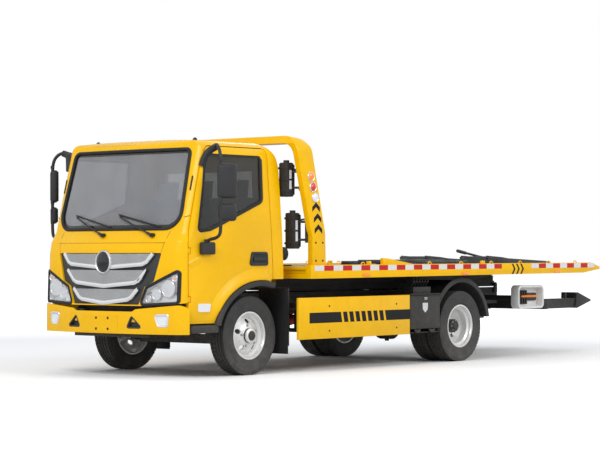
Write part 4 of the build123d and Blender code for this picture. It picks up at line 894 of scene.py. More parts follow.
def wires_mesh(runs, radius):
    bm = bmesh.new()
    for run in runs:
        verts = [bm.verts.new(p) for p in run]
        for a, b in zip(verts, verts[1:]):
            bm.edges.new((a, b))
    mesh = bpy.data.meshes.new("wires")
    bm.to_mesh(mesh)
    bm.free()
    holder = bpy.data.objects.new("work", mesh)
    bpy.context.scene.collection.objects.link(holder)
    modifier = holder.modifiers.new("wires", "NODES")
    modifier.node_group, identifier = wire_tree()
    modifier[identifier] = radius
    result = bpy.data.meshes.new_from_object(holder.evaluated_get(bpy.context.evaluated_depsgraph_get()))
    bpy.data.objects.remove(holder)
    return result


def grille_dress():
    """Woven wire and bright trim on each tier, and the blank oval."""
    wires, trims, backs = [], [], []
    pitch = 0.0135
    for tier in GRILLE_TIERS:
        outline = tier_outline(*tier)
        backs.append(draped_plate(outline, lambda x, z, out: on_nose(x, z, out + 0.001), 0.006, 0.05))
        height = tier[0] - tier[1]
        for lean in (1, -1):
            x = -tier[2] - height
            while x < tier[2] + height:
                start = (x if lean > 0 else x + height, tier[1])
                for (a, b), (c, d) in clipped_run(outline, start, (lean * 0.7071, 0.7071), height * 1.5):
                    if math.hypot(c - a, d - b) > 0.006:
                        wires.append([on_nose(a, b, 0.0095), on_nose((a + c) / 2, (b + d) / 2, 0.0095),
                                      on_nose(c, d, 0.0095)])
                x += pitch
        # a bright channel down each side and along the chevron
        path = [(-tier[2], tier[0]), (-tier[3] + 0.006, tier[1] + 0.060), (-tier[3] + 0.055, tier[1] + 0.038),
                (0, tier[1] + 0.004), (tier[3] - 0.055, tier[1] + 0.038), (tier[3] - 0.006, tier[1] + 0.060),
                (tier[2], tier[0])]
        rows = []
        for shift, out in ((-0.024, 0.000), (-0.021, 0.012), (-0.003, 0.017), (0.015, 0.012), (0.018, 0.000)):
            row = []
            for i, (x, z) in enumerate(path):
                before, after = path[max(0, i - 1)], path[min(len(path) - 1, i + 1)]
                along = Vector((after[0] - before[0], after[1] - before[1])).normalized()
                row.append((x + along.y * shift, z - along.x * shift, out))
            fine = []
            for (x0, z0, o), (x1, z1, _) in zip(row, row[1:]):
                count = max(1, int(math.hypot(x1 - x0, z1 - z0) / 0.04))
                fine += [on_nose(x0 + (x1 - x0) * k / count, z0 + (z1 - z0) * k / count, o) for k in range(count)]
            fine.append(on_nose(row[-1][0], row[-1][1], out))
            rows.append(fine)
        width = min(len(row) for row in rows)
        rows = [row[:width] for row in rows]
        trims.append(strip_mesh(rows + [rows[0]], closed=False))
    finish_object(merged(*backs), "grille_backing", "charcoal", "cab", "black_plastic")
    finish_object(wires_mesh(wires, 0.0017), "grille_wire", "mesh", "cab", "grille_silver", 0)
    finish_object(merged(*trims), "grille_trim", "chrome", "cab", "grille_silver", 50)
    turns = [math.tau * k / 48 for k in range(48)]

    def oval(size, y):
        """One ring of points of the badge, y metres behind its front."""
        return [at(OVAL_HALF[0] * size * math.cos(t), OVAL_FRONT + y, OVAL_Z + OVAL_HALF[1] * size * math.sin(t))
                for t in turns]
    ring = [oval(size, y) for size, y in ((1.02, 0.030), (1.04, 0.003), (0.96, -0.007), (0.88, -0.001), (0.86, 0.007))]
    plate = [oval(size, y) for size, y in ((0.87, 0.000), (0.84, -0.003), (0.6, -0.006), (0.3, -0.008), (0.02, -0.009))]
    finish_object(strip_mesh(ring + [ring[0]]), "oval_rim", "chrome", "cab", "grille_silver", 60)
    finish_object(strip_mesh(plate), "oval_plate", "gloss_black", "cab", "black_plastic", 60)


LAMP = ((0.534, 0.872), (0.900, 1.036), (0.897, 0.723), (0.462, 0.702))


def headlamp_dress():
    """Seal, reflector bowls, divider ribs and the amber bulb of each headlamp."""
    loop = dense(rounded_loop(LAMP, (0.02, 0.02, 0.03, 0.03), 4), 0.04)

    def seal():
        rows = [[on_nose(x, z, out) for x, z in shrunk(loop, inwards)]
                for inwards, out in ((0.017, -0.010), (0.013, 0.004), (0.000, 0.007), (-0.011, 0.005),
                                     (-0.014, 0.001), (-0.008, -0.02), (0.008, -0.02))]
        return strip_mesh(rows + [rows[0]])
    both_sides(seal, "headlamp_seal", "rubber", "cab", "black_plastic", 60)

    def bowls():
        meshes = []
        for x, z, radius, deep in ((0.772, 0.862, 0.082, 0.050), (0.640, 0.806, 0.056, 0.035),
                                   (0.547, 0.762, 0.034, 0.025), (0.845, 0.958, 0.034, 0.02)):
            front = nose_y(x, z) + 0.020
            profile = [(front, radius), (front + 0.004, radius * 0.96), (front + deep * 0.6, radius * 0.7),
                       (front + deep, radius * 0.3), (front + deep, 0.001)]
            meshes.append(lathe_mesh([(y + AXLE_Y, r) for y, r in profile], (x, 0, z), "Y", 28))
            rim = [at(x + radius * math.cos(t), front, z + radius * math.sin(t))
                   for t in [math.tau * k / 28 for k in range(28)]]
            meshes.append(tube_mesh(rim, 0.004, 6, closed=True))
        for step in range(7):
            z = 0.735 + step * 0.035
            left = 0.500 + step * 0.024
            meshes.append(tube_mesh([on_nose(left + 0.02, z, -0.022), on_nose(left + 0.10, z + 0.008, -0.032)],
                                    0.004, 6))
        return merged(*meshes)
    both_sides(bowls, "headlamp_bowls", "chrome", "cab", "grille_silver", 50)

    def bulbs():
        globe = [(-0.012, 0.001), (-0.010, 0.010), (0.0, 0.014), (0.012, 0.012), (0.02, 0.001)]
        meshes = []
        for x, z in ((0.772, 0.862), (0.640, 0.806)):
            y = nose_y(x, z) + 0.035 + AXLE_Y
            meshes.append(lathe_mesh([(a + y, r) for a, r in globe], (x, 0, z), "Y", 20))
        return merged(*meshes)
    both_sides(bulbs, "headlamp_bulbs", "clear_lens", "cab", "lamp_lens", 60)

    def amber():
        y = nose_y(0.845, 0.958) + 0.026 + AXLE_Y
        return lathe_mesh([(y - 0.012, 0.001), (y - 0.008, 0.014), (y + 0.01, 0.018), (y + 0.014, 0.001)],
                          (0.845, 0, 0.958), "Y", 20)
    both_sides(amber, "headlamp_amber", "amber", "cab", "lamp_lens", 60)

    def housing():
        shell = shrunk(loop, 0.004)
        rows = [[on_nose(x, z, out) for x, z in shell] for out in (-0.016, -0.044)]
        middle = (sum(x for x, z in shell) / len(shell), sum(z for x, z in shell) / len(shell))
        rows.append([on_nose(middle[0] + (x - middle[0]) * 0.02, middle[1] + (z - middle[1]) * 0.02, -0.044)
                     for x, z in shell])
        return strip_mesh(rows)
    both_sides(housing, "headlamp_housing", "silver", "cab", "grille_silver", 40)


def roof_markers():
    def marker():
        place = (0.667, -0.543 + AXLE_Y)
        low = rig.box("cab_roof")[1].z - 0.022
        profile = [(low - 0.02, 0.034), (low + 0.004, 0.034), (low + 0.012, 0.028), (low + 0.030, 0.020),
                   (low + 0.040, 0.008), (low + 0.041, 0.001)]
        return lathe_mesh(profile, (*place, 0), "Z", 24)
    both_sides(marker, "roof_markers", "gloss_black", "cab", "black_plastic", 50)


windshield_seal()
wipers()
nose_seams()
grille_dress()
headlamp_dress()
roof_markers()


# Doors, arches and mirrors

SIDE_PROFILE = ((0.0, 0.985), (1.050, 0.985), (1.409, 0.968), (2.110, 0.915), (2.240, 0.868), (2.286, 0.740))
PLAN_PROFILE = ((0.165, 0.935), (0.620, 0.975), (1.900, 0.995))


def between(table, value):
    for (a, b), (c, d) in zip(table, table[1:]):
        if value <= c or c == table[-1][0]:
            part = max(0.0, min(1.0, (value - a) / (c - a)))
            return b + (d - b) * part
    return table[-1][1]


def side_x(y, z):
    """The cab's half width beside a point of its side."""
    nose_middle = nose_y(0, z)
    return min(between(SIDE_PROFILE, z), between(PLAN_PROFILE, y - nose_middle))


def on_side(y, z, out=0.0):
    return at(side_x(y, z) + out, y, z)


DOORS = ("door_left", "door_right")


def window_seal():
    loop = dense(SIDE_WINDOW, 0.05)
    rows = [[on_side(y, z, out) for y, z in shrunk(loop, inwards)]
            for inwards, out in ((-0.010, 0.001), (-0.006, 0.006), (0.006, 0.007), (0.022, 0.001),
                                 (0.024, -0.016), (-0.004, -0.016))]
    return strip_mesh(rows + [rows[0]])


def handle_recess():
    """A raised moulded plate with a bowl and a pull bar across it."""
    outer = dense(rounded_loop(((-0.112, 1.073), (0.165, 1.073), (0.165, 1.210), (-0.074, 1.210)),
                               (0.03, 0.026, 0.026, 0.03), 5), 0.03)
    middle = 0.030, 1.142
    rows = []
    for inwards, out in ((0.000, 0.000), (0.002, 0.011), (0.010, 0.014), (0.024, 0.012), (0.031, 0.003),
                         (0.044, 0.0015)):
        rows.append([on_side(y, z, out) for y, z in shrunk(outer, inwards)])
    rows.append([on_side(middle[0] + (y - middle[0]) * 0.03, middle[1], 0.001) for y, z in outer])
    bowl = strip_mesh(rows)
    grip = prism_mesh([on_side(y, z, 0.002) for y, z in
                       ((-0.052, 1.118), (0.128, 1.118), (0.132, 1.158), (-0.044, 1.158))], (0.012, 0, 0), 0.005, 3)
    lock = lathe_mesh([(0.0, 0.009), (0.004, 0.009), (0.005, 0.007), (0.005, 0.001)],
                      tuple(on_side(-0.060, 1.096, 0.010)), "X", 20)
    return merged(bowl, grip, lock)


def side_lamp():
    outline = dense(rounded_loop(((-0.806, 0.638), (-0.662, 0.638), (-0.648, 0.717), (-0.806, 0.717)),
                                 (0.012, 0.012, 0.012, 0.012), 4), 0.03)
    return draped_plate(outline, lambda y, z, out: on_side(y, z, out + 0.0005), 0.010)


CREASE = ((-1.024, 1.030), (-0.921, 1.092), (-0.679, 1.196), (-0.436, 1.297))


def door_crease():
    """A raised fold that runs back and up from the headlamp, fading to the rear."""
    rows = []
    start, end = Vector(CREASE[1]), Vector(CREASE[-1])
    across = Vector((-(end - start).y, (end - start).x)).normalized()
    for offset_z, height in ((0.020, 0.0), (0.007, 0.8), (0.0, 1.0), (-0.020, 0.35), (-0.050, 0.0)):
        row = []
        for k in range(21):
            part = k / 20
            spot = start.lerp(end, part) + across * offset_z
            row.append(on_side(spot.x, spot.y, 0.0004 + 0.005 * height * (1 - part) ** 0.7))
        rows.append(row)
    return strip_mesh(rows, closed=False)


ARCH_MIDDLE = (0.050, AXLE_Z)
ARCH_WIDE, ARCH_TALL = 0.660, 0.535


def arch_point(angle, grow):
    """A point on the wheel arch's outline: 0 degrees at the rear, 90 at the top."""
    return (ARCH_MIDDLE[0] + (ARCH_WIDE + grow) * math.cos(angle),
            ARCH_MIDDLE[1] + (ARCH_TALL + grow) * math.sin(angle))


def arch_bulge():
    """The door's pressed swelling that follows the wheel arch."""
    rows = []
    first, last = math.radians(76), math.radians(164)
    for grow, out in ((0.010, -0.006), (0.010, 0.022), (0.018, 0.027), (0.040, 0.026), (0.075, 0.016),
                      (0.105, 0.006), (0.130, 0.0006)):
        row = []
        for k in range(41):
            angle = first + (last - first) * k / 40
            y, z = arch_point(angle, grow)
            y = max(y, -0.912)
            fade = min(1.0, k / 5) * min(1.0, (40 - k) / 6)
            row.append(on_side(y, z, out * fade + 0.0003))
        rows.append(row)
    return strip_mesh(rows, closed=False)


MIRROR_BAR = (1.160, -0.715)
MIRROR_TURN = math.radians(42)
MIRROR_HEADS = ((1.192, -0.660, 1.882, 0.186, 0.084, 0.330), (1.196, -0.658, 1.585, 0.172, 0.076, 0.168))


def turned_box(head, grow, bevel, segments):
    """A rounded box of a mirror head, turned about its upright middle line."""
    x, y, z, wide, deep, tall = head
    mesh = box_mesh(Vector((-wide / 2 - grow, -deep / 2, -tall / 2 - grow)),
                    Vector((wide / 2 + grow, deep / 2, tall / 2 + grow)), bevel, segments)
    mesh.transform(Matrix.Translation(at(x, y, z)) @ Matrix.Rotation(MIRROR_TURN, 4, "Z"))
    return mesh


def mirror_heads():
    """Rounded shells on their clamps, beside the bar."""
    meshes = [turned_box(head, 0.0, 0.034, 5) for head in MIRROR_HEADS]
    for z in (1.60, 1.80, 1.96):
        meshes.append(tube_mesh([at(*MIRROR_BAR, z), at(*MIRROR_BAR, z + 0.05)], 0.021, 14))
    return merged(*meshes)


def mirror_glass():
    meshes = []
    for x, y, z, wide, deep, tall in MIRROR_HEADS:
        face = turned_box((x, y, z, wide, 0.003, tall), -0.016, 0.001, 1)
        push = Matrix.Rotation(MIRROR_TURN, 3, "Z") @ Vector((0, deep / 2, 0))
        face.transform(Matrix.Translation(push))
        meshes.append(face)
    return merged(*meshes)


def mirror_bar():
    """A bent tube from the door's top corner to the elbow on its base."""
    x, y = MIRROR_BAR
    path = [at(0.925, -0.600, 2.150), at(0.950, -0.606, 2.192), at(1.020, -0.640, 2.222), at(1.100, -0.680, 2.214),
            at(x, y, 2.130), at(x, y, 1.900), at(x, y, 1.600), at(x, y, 1.440),
            at(x - 0.010, y, 1.370), at(1.090, -0.712, 1.338), at(1.010, -0.708, 1.330), at(0.975, -0.706, 1.310)]
    meshes = [tube_mesh(path, 0.0165, 14, smooth_path=True, resolution=5)]
    meshes.append(box_mesh(at(0.950, -0.794, 1.184), at(1.012, -0.618, 1.303), 0.016, 4))
    meshes.append(tube_mesh([at(0.975, -0.706, 1.290), at(0.975, -0.706, 1.330)], 0.026, 14))
    hood = [at(0.912, -0.715, 2.030), at(0.930, -0.700, 2.110), at(0.965, -0.668, 2.175), at(1.020, -0.650, 2.205),
            at(1.060, -0.660, 2.215)]
    meshes.append(tube_mesh(hood, 0.034, 14, smooth_path=True))
    for z in (1.50, 1.70, 2.06):
        meshes.append(tube_mesh([at(x, y, z), at(x, y, z + 0.03)], 0.020, 12))
    return merged(*meshes)


def arch_lips():
    """The wide black lips over the front wheels with the steps ahead of them."""
    rows = []
    first, last = math.radians(72), math.radians(167)
    section = ((0.004, 0.935), (0.004, 1.004), (0.000, 1.012), (-0.014, 1.014), (-0.046, 1.010), (-0.052, 1.002),
               (-0.050, 0.955), (-0.030, 0.935))
    for grow, x in section:
        rows.append([at(x, *arch_point(first + (last - first) * k / 44, grow)) for k in range(45)])
    lip = strip_mesh(rows + [rows[0]], closed=False)
    step = box_mesh(at(0.835, -0.925, 0.437), at(1.004, -0.570, 0.510), 0.012, 4)
    ribs = [box_mesh(at(0.90, -0.915 + 0.03 * k, 0.509), at(0.995, -0.900 + 0.03 * k, 0.513), 0.0) for k in range(10)]
    return merged(lip, step, *ribs)


def front_mudflaps():
    """Hanging flaps behind the front wheels."""
    outline = [(0.66, 0.835), (0.955, 0.835), (0.970, 0.80), (0.965, 0.190), (0.67, 0.190), (0.66, 0.22)]
    return prism_mesh([at(x, 0.470 + (0.835 - z) * 0.03, z) for x, z in outline], (0, 0.008, 0), 0.002, 2)


both_sides(window_seal, "window_seal", "rubber", DOORS, "black_plastic", 60)
both_sides(handle_recess, "door_handle", "plastic", DOORS, "black_plastic", 45)
both_sides(side_lamp, "side_lamp", "clear_lens", DOORS, "lamp_lens")
both_sides(door_crease, "door_crease", "yellow", DOORS, "yellow_paint", 80)
both_sides(arch_bulge, "arch_bulge", "yellow", DOORS, "yellow_paint", 80)
for head, (side, word) in zip(both_sides(mirror_heads, "mirror_heads", "plastic", DOORS, "black_plastic", 45), SIDES):
    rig.replaces(head, "mirror_" + word)
both_sides(mirror_glass, "mirror_glass", "chrome", DOORS, "black_plastic")
both_sides(mirror_bar, "mirror_bar", "plastic", DOORS, "black_plastic", 60)
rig.replaces(both_sides(arch_lips, "arch_lips", "plastic", "cab", "black_plastic", 45)[0], "arch_flares")
both_sides(front_mudflaps, "front_mudflaps", "rubber", "chassis", "black_plastic")


# Bumper

BUMPER_CORNER = (0.185, 0.165)


def bumper_y(x):
    """The bumper's front, from the front axle: a shallow arc, then round the corner to its end."""
    half, sag = 0.800, 0.082
    radius = (half ** 2 + sag ** 2) / (2 * sag)
    y = -1.147 + radius - math.sqrt(radius ** 2 - min(abs(x), half) ** 2)
    past = max(0.0, min(1.0, (abs(x) - half) / BUMPER_CORNER[0]))
    return y + BUMPER_CORNER[1] * (1 - math.sqrt(1 - past ** 2))


def on_bumper(x, z, out=0.0):
    return at(x, bumper_y(x) - out, z)


FOG_LAMP = ((0.648, 0.612), (0.688, 0.500), (0.796, 0.500), (0.808, 0.617))
FOG_LOOP = dense(rounded_loop(FOG_LAMP, (0.02, 0.03, 0.03, 0.02), 5), 0.03)


def bumper_dress():
    plate = dense([(-0.280, 0.445), (0.205, 0.445), (0.205, 0.600), (-0.280, 0.600)], 0.04)
    finish_object(draped_plate(plate, lambda x, z, out: on_bumper(x, z, out + 0.0005), 0.002), "plate_panel", "yellow",
                  "chassis", "yellow_paint")
    holes = [lathe_mesh([(-1.1515 + AXLE_Y, 0.001), (-1.1508 + AXLE_Y, 0.013), (-1.140 + AXLE_Y, 0.013)],
                        (x, 0, z), "Y", 16) for x in (-0.08, 0.08) for z in (0.470, 0.575)]
    finish_object(merged(*holes), "plate_holes", "rubber", "chassis", "black_plastic")

    def vent():
        outline = dense(rounded_loop(((0.325, 0.488), (0.500, 0.488), (0.380, 0.592)), (0.010, 0.010, 0.010), 4), 0.02)
        rows = [[on_bumper(x, z, out) for x, z in shrunk(outline, k)]
                for k, out in ((-0.010, 0.0005), (-0.004, 0.004), (0.004, 0.0), (0.012, -0.035))]
        middle = [on_bumper(0.400 + (x - 0.400) * 0.02, 0.520, -0.036) for x, z in outline]
        return strip_mesh(rows + [middle])
    both_sides(vent, "bumper_vents", "plastic", "chassis", "black_plastic")

    def fog_bezel():
        rows = [[on_bumper(x, z, out) for x, z in shrunk(FOG_LOOP, k)]
                for k, out in ((-0.006, 0.0006), (0.0, 0.006), (0.012, 0.004), (0.016, -0.004), (0.020, -0.03))]
        return strip_mesh(rows)
    both_sides(fog_bezel, "fog_bezel", "chrome", "chassis", "grille_silver", 50)

    def fog_lens():
        return draped_plate(shrunk(FOG_LOOP, 0.012), lambda x, z, out: on_bumper(x, z, out - 0.014), 0.008)
    both_sides(fog_lens, "fog_lens", "clear_lens", "chassis", "lamp_lens", 50)
    under = [box_mesh(at(-0.50, -1.035, 0.390), at(0.50, -0.985, 0.425), 0.006),
             box_mesh(at(-0.45, -1.03, 0.42), at(-0.40, -0.99, 0.60), 0.004),
             box_mesh(at(0.40, -1.03, 0.42), at(0.45, -0.99, 0.60), 0.004)]
    finish_object(merged(*under), "front_underrun_bar", "black", "chassis", "frame_black")


bumper_dress()


# Wheels

TREAD_RIBS = ((-0.076, 0.026), (-0.038, 0.024), (0.0, 0.022), (0.038, 0.024), (0.076, 0.026))
TREAD_DEPTH = 0.010
BLOCKS = 58


def tyre_mesh(centre_x):
    """Round sidewalls with moulded rings, and tread blocks in five ribs."""
    base = TYRE_RADIUS - TREAD_DEPTH
    half = [(0.060, 0.2285), (0.078, 0.2300), (0.086, 0.2360), (0.092, 0.2480), (0.0935, 0.2485), (0.0945, 0.2560),
            (0.0950, 0.2600), (0.0985, 0.2900), (0.0998, 0.3120), (0.1000, 0.3180), (0.0985, 0.3200),
            (0.0990, 0.3300), (0.0965, 0.3480), (0.0975, 0.3500), (0.0965, 0.3560), (0.0925, 0.3640),
            (0.0900, 0.3740), (0.0885, base)]
    profile = [(centre_x - w, r) for w, r in half] + [(centre_x + w, r) for w, r in reversed(half)]
    body = lathe_mesh(profile + profile[:1], (0, 0, 0), "X", 96)
    meshes = [body]
    arc = math.tau * base / BLOCKS
    for place, width in TREAD_RIBS:
        lean = 0.006 if place < 0 else -0.006
        outer = 0.4 if abs(place) < 0.06 else 0.44
        low = base - 0.003
        corners = [(place - width / 2, -arc * outer + lean), (place + width / 2, -arc * outer - lean),
                   (place + width / 2, arc * outer - lean), (place - width / 2, arc * outer + lean)]
        block = prism_mesh([(centre_x + a, b, low) for a, b in corners], (0, 0, TYRE_RADIUS - low - 0.0006))
        meshes.append(turned_copies(block, (0, 0, 0), "X", BLOCKS, "tyre", 0.5 * (place != 0)))
    return merged(*meshes)


def place_wheel(mesh, y):
    mesh.transform(Matrix.Translation(Vector((0, y, AXLE_Z))))
    return mesh


def nut_mesh(x, radius_at, out, size=0.016, length=0.022):
    """A hexagon nut with its stud on a wheel's face, pointing outwards."""
    profile = [(x, size * 1.15), (x + out * 0.003, size * 1.15), (x + out * 0.003, size),
               (x + out * length, size * 0.92),
               (x + out * (length + 0.001), size * 0.55), (x + out * (length + 0.008), size * 0.5),
               (x + out * (length + 0.009), 0.001)]
    nut = lathe_mesh(profile, (0, 0, 0), "X", 6)
    nut.transform(Matrix.Translation(Vector((0, 0, radius_at))))
    return nut


def wheel_dress():
    for side, word in SIDES:
        front = place_wheel(tyre_mesh(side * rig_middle("tyre_front_" + word)), AXLE_Y)
        tyre = finish_object(front, "treaded_tyre_front_" + word, "tyre", "wheel_front_" + word, "tyre", 35)
        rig.replaces(tyre, "tyre_front_" + word)
        low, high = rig.box("tyre_rear_" + word)
        inner, outer = sorted((abs(low.x), abs(high.x)))
        half = 0.100
        pair = merged(tyre_mesh(side * (inner + half)), tyre_mesh(side * (outer - half)))
        tyre = finish_object(place_wheel(pair, REAR_Y), "treaded_tyres_rear_" + word, "tyre",
                             "wheel_rear_" + word, "tyre", 35)
        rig.replaces(tyre, "tyre_rear_" + word)
        # nuts and hub caps
        for axle, y, face, hub_out in (("front", AXLE_Y, FRONT_DISC_X, 0.060), ("rear", REAR_Y, REAR_DISC_X, 0.075)):
            body = f"wheel_{axle}_{word}"
            nuts = turned_copies(nut_mesh(side * face, 0.104, side), (0, 0, 0), "X", 5, "steel", 0.2)
            finish_object(place_wheel(nuts, y), f"wheel_nuts_{axle}_{word}", "steel", body, "bare_steel", 25)
            x = side * face
            cap = [(x, 0.074), (x + side * 0.030, 0.073), (x + side * 0.036, 0.070), (x + side * 0.038, 0.052),
                   (x + side * hub_out, 0.048), (x + side * (hub_out + 0.004), 0.044),
                   (x + side * (hub_out + 0.005), 0.001)]
            if axle == "rear":
                face_out = side * (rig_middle("rim_rear_" + word) + REAR_HUB_OUT)
                cap = [(face_out - side * 0.060, 0.074), (face_out - side * 0.010, 0.074), (face_out, 0.066),
                       (face_out + side * 0.006, 0.050), (face_out + side * 0.018, 0.046),
                       (face_out + side * 0.022, 0.040), (face_out + side * 0.023, 0.001)]
                x = face_out - side * 0.034
            hub = place_wheel(lathe_mesh(cap, (0, 0, 0), "X", 40), y)
            finish_object(hub, f"hub_cap_{axle}_{word}", "black", body, "cast_metal", 30)
            bolts = turned_copies(nut_mesh(x + side * 0.036, 0.061, side, 0.006, 0.006), (0, 0, 0), "X", 8, "steel")
            finish_object(place_wheel(bolts, y), f"hub_bolts_{axle}_{word}", "steel", body, "bare_steel", 25)


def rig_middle(node):
    low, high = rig.box(node)
    return abs(low.x + high.x) / 2


FRONT_DISC_X = 0.862
REAR_DISC_X = 0.838
REAR_HUB_OUT = 0.132


# Bed and gantry

RAIL_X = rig.box("bed_deck")[1].x
RAIL_TOP = 1.077
GANTRY_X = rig.box("gantry")[1].x
CHEVRON_ZONE = (4.170, 4.450)
TAPE_LOW, TAPE_HIGH = 1.018, 1.070


def bed_skin():
    """The bed with a dark worn deck between yellow rails, and a black underside that is painted shade under the bed."""
    bm = bmesh.new()
    bm.from_mesh(NODES["bed_deck"].data)
    bmesh.ops.remove_doubles(bm, verts=bm.verts, dist=0.00005)
    bmesh.ops.dissolve_limit(bm, angle_limit=math.radians(1.0), verts=bm.verts, edges=bm.edges)
    mesh = bpy.data.meshes.new("bed")
    bm.to_mesh(mesh)
    bm.free()
    mesh = rounded(mesh, 0.003, 2)
    piece = finish_object(mesh, "dressed_bed_deck", "bed_yellow", "bed", "yellow_paint", 32)
    piece.data.materials.append(M["deck"])
    piece.data.materials.append(M["black"])
    for face in piece.data.polygons:
        middle, normal = face.center, face.normal
        inside = abs(middle.x) < 1.079
        if inside and normal.z > 0.5:
            face.material_index = 1
        # painted shade: faces under and inside the bed take the black finish for the shadow beneath it
        elif inside and normal.z < 0.3 and normal.y > -0.5 and middle.z < 1.05:
            face.material_index = 2
    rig.replaces(piece, "bed_deck")


def rail_plate(y0, z0, y1, z1, out=0.0012):
    """A thin sticker on the left rail's side."""
    return box_mesh(at(RAIL_X, y0, z0), at(RAIL_X + out, y1, z1))


def tape_blocks():
    """Alternating blocks along the rail, by colour."""
    blocks = {"white_tape": [], "red_tape": []}
    y, white = 0.690, True
    while y < 5.86:
        end = y + 0.147
        blocked = y < CHEVRON_ZONE[1] and end > CHEVRON_ZONE[0] - 0.15
        if not blocked:
            blocks["white_tape" if white else "red_tape"].append((y, end))
        y += 0.150
        white = not white
    return blocks


def chevron(y, z, wide, tall, thick, direction):
    """A flat arrow head as (y, z) points; direction is (1, 0) to the rear or (0, 1) upwards."""
    shape = [(0, -0.5), (1 - thick, 0), (0, 0.5), (thick, 0.5), (1, 0), (thick, -0.5)]
    if direction == (1, 0):
        return [(y + a * wide, z + b * tall) for a, b in shape]
    return [(y + b * wide, z + a * tall) for a, b in shape]


def bed_dress():
    bed_skin()
    for colour, spans in tape_blocks().items():
        def tapes():
            return merged(*[rail_plate(a, TAPE_LOW, b, TAPE_HIGH) for a, b in spans])
        both_sides(tapes, "bed_" + colour, colour, "bed", "yellow_paint", 0)

    def arrows():
        meshes = []
        for k in range(3):
            points = chevron(4.185 + 0.085 * k, 1.012, 0.075, 0.118, 0.42, (1, 0))
            meshes.append(prism_mesh([at(RAIL_X, a, b) for a, b in points], (0.0012, 0, 0)))
        return merged(*meshes)
    both_sides(arrows, "bed_chevrons", "black_tape", "bed", "yellow_paint", 0)

    def markers():
        return merged(*[box_mesh(at(RAIL_X, y - 0.055, 0.956), at(RAIL_X + 0.012, y + 0.055, 0.984), 0.004, 3)
                        for y in (1.517, 3.274, 5.120)])
    both_sides(markers, "bed_side_markers", "amber", "bed", "lamp_lens", 50)

    def rail_fittings():
        meshes = [box_mesh(at(1.095, 1.590, RAIL_TOP), at(1.140, 1.625, RAIL_TOP + 0.035), 0.006),
                  box_mesh(at(1.085, 3.650, RAIL_TOP), at(1.110, 3.720, RAIL_TOP + 0.030), 0.006)]
        for k in range(9):
            y = 0.95 + 0.58 * k
            ring = [at(1.100 + 0.0, y + 0.030 * math.cos(t), RAIL_TOP - 0.004 + 0.026 * math.sin(t))
                    for t in [math.pi * j / 10 for j in range(11)]]
            meshes.append(tube_mesh(ring, 0.006, 8))
        return merged(*meshes)
    both_sides(rail_fittings, "rail_fittings", "bed_yellow", "bed", "yellow_paint")

    def deck_slots():
        """Key-hole strips for the tie-down straps, in pairs along the deck."""
        meshes = []
        for x in (0.330, 0.620, 0.940):
            for y in [1.45 + 0.32 * k for k in range(13)]:
                meshes.append(box_mesh(at(x - 0.012, y, 1.060), at(x + 0.012, y + 0.110, 1.0608)))
        return merged(*meshes)
    both_sides(deck_slots, "deck_slots", "gloss_black", "bed", "deck_steel", 0)

    def ramp_details():
        """Side flanges, cleats and hooks of the loading ramps, and the loose dark gear ahead of them."""
        meshes = []
        for x in (0.255, 0.610):
            flange = ((4.44, 1.062), (4.45, 1.163), (4.76, 1.145), (4.90, 1.130), (5.79, 1.092), (5.80, 1.062))
            meshes.append(prism_mesh([at(x, y, z) for y, z in flange], (0.014, 0, 0), 0.003))
        for k in range(14):
            y = 4.92 + 0.062 * k
            z = 1.121 - (y - 4.90) * 0.040
            meshes.append(box_mesh(at(0.270, y, z - 0.004), at(0.610, y + 0.018, z + 0.008), 0.002, 1))
        meshes.append(tube_mesh([at(0.24, 4.46, 1.135), at(0.64, 4.46, 1.135)], 0.016, 12))
        meshes.append(box_mesh(at(0.24, 3.220, 1.078), at(0.31, 4.060, 1.118), 0.006))
        meshes.append(box_mesh(at(0.50, 3.250, 1.070), at(0.58, 4.150, 1.104), 0.006))
        meshes.append(box_mesh(at(0.22, 3.30, 1.060), at(0.62, 3.36, 1.082), 0.004))
        meshes.append(box_mesh(at(0.22, 3.95, 1.060), at(0.62, 4.01, 1.082), 0.004))
        return merged(*meshes)
    both_sides(ramp_details, "ramp_details", "ramp", "bed", "deck_steel")
    lever = [tube_mesh([at(0.30, 4.86, 1.135), at(0.30, 4.34, 1.215)], 0.014, 10),
             tube_mesh([at(0.30, 4.48, 1.193), at(0.30, 4.32, 1.218)], 0.020, 12)]
    finish_object(merged(*lever), "ramp_lever", "ramp", "bed", "deck_steel")


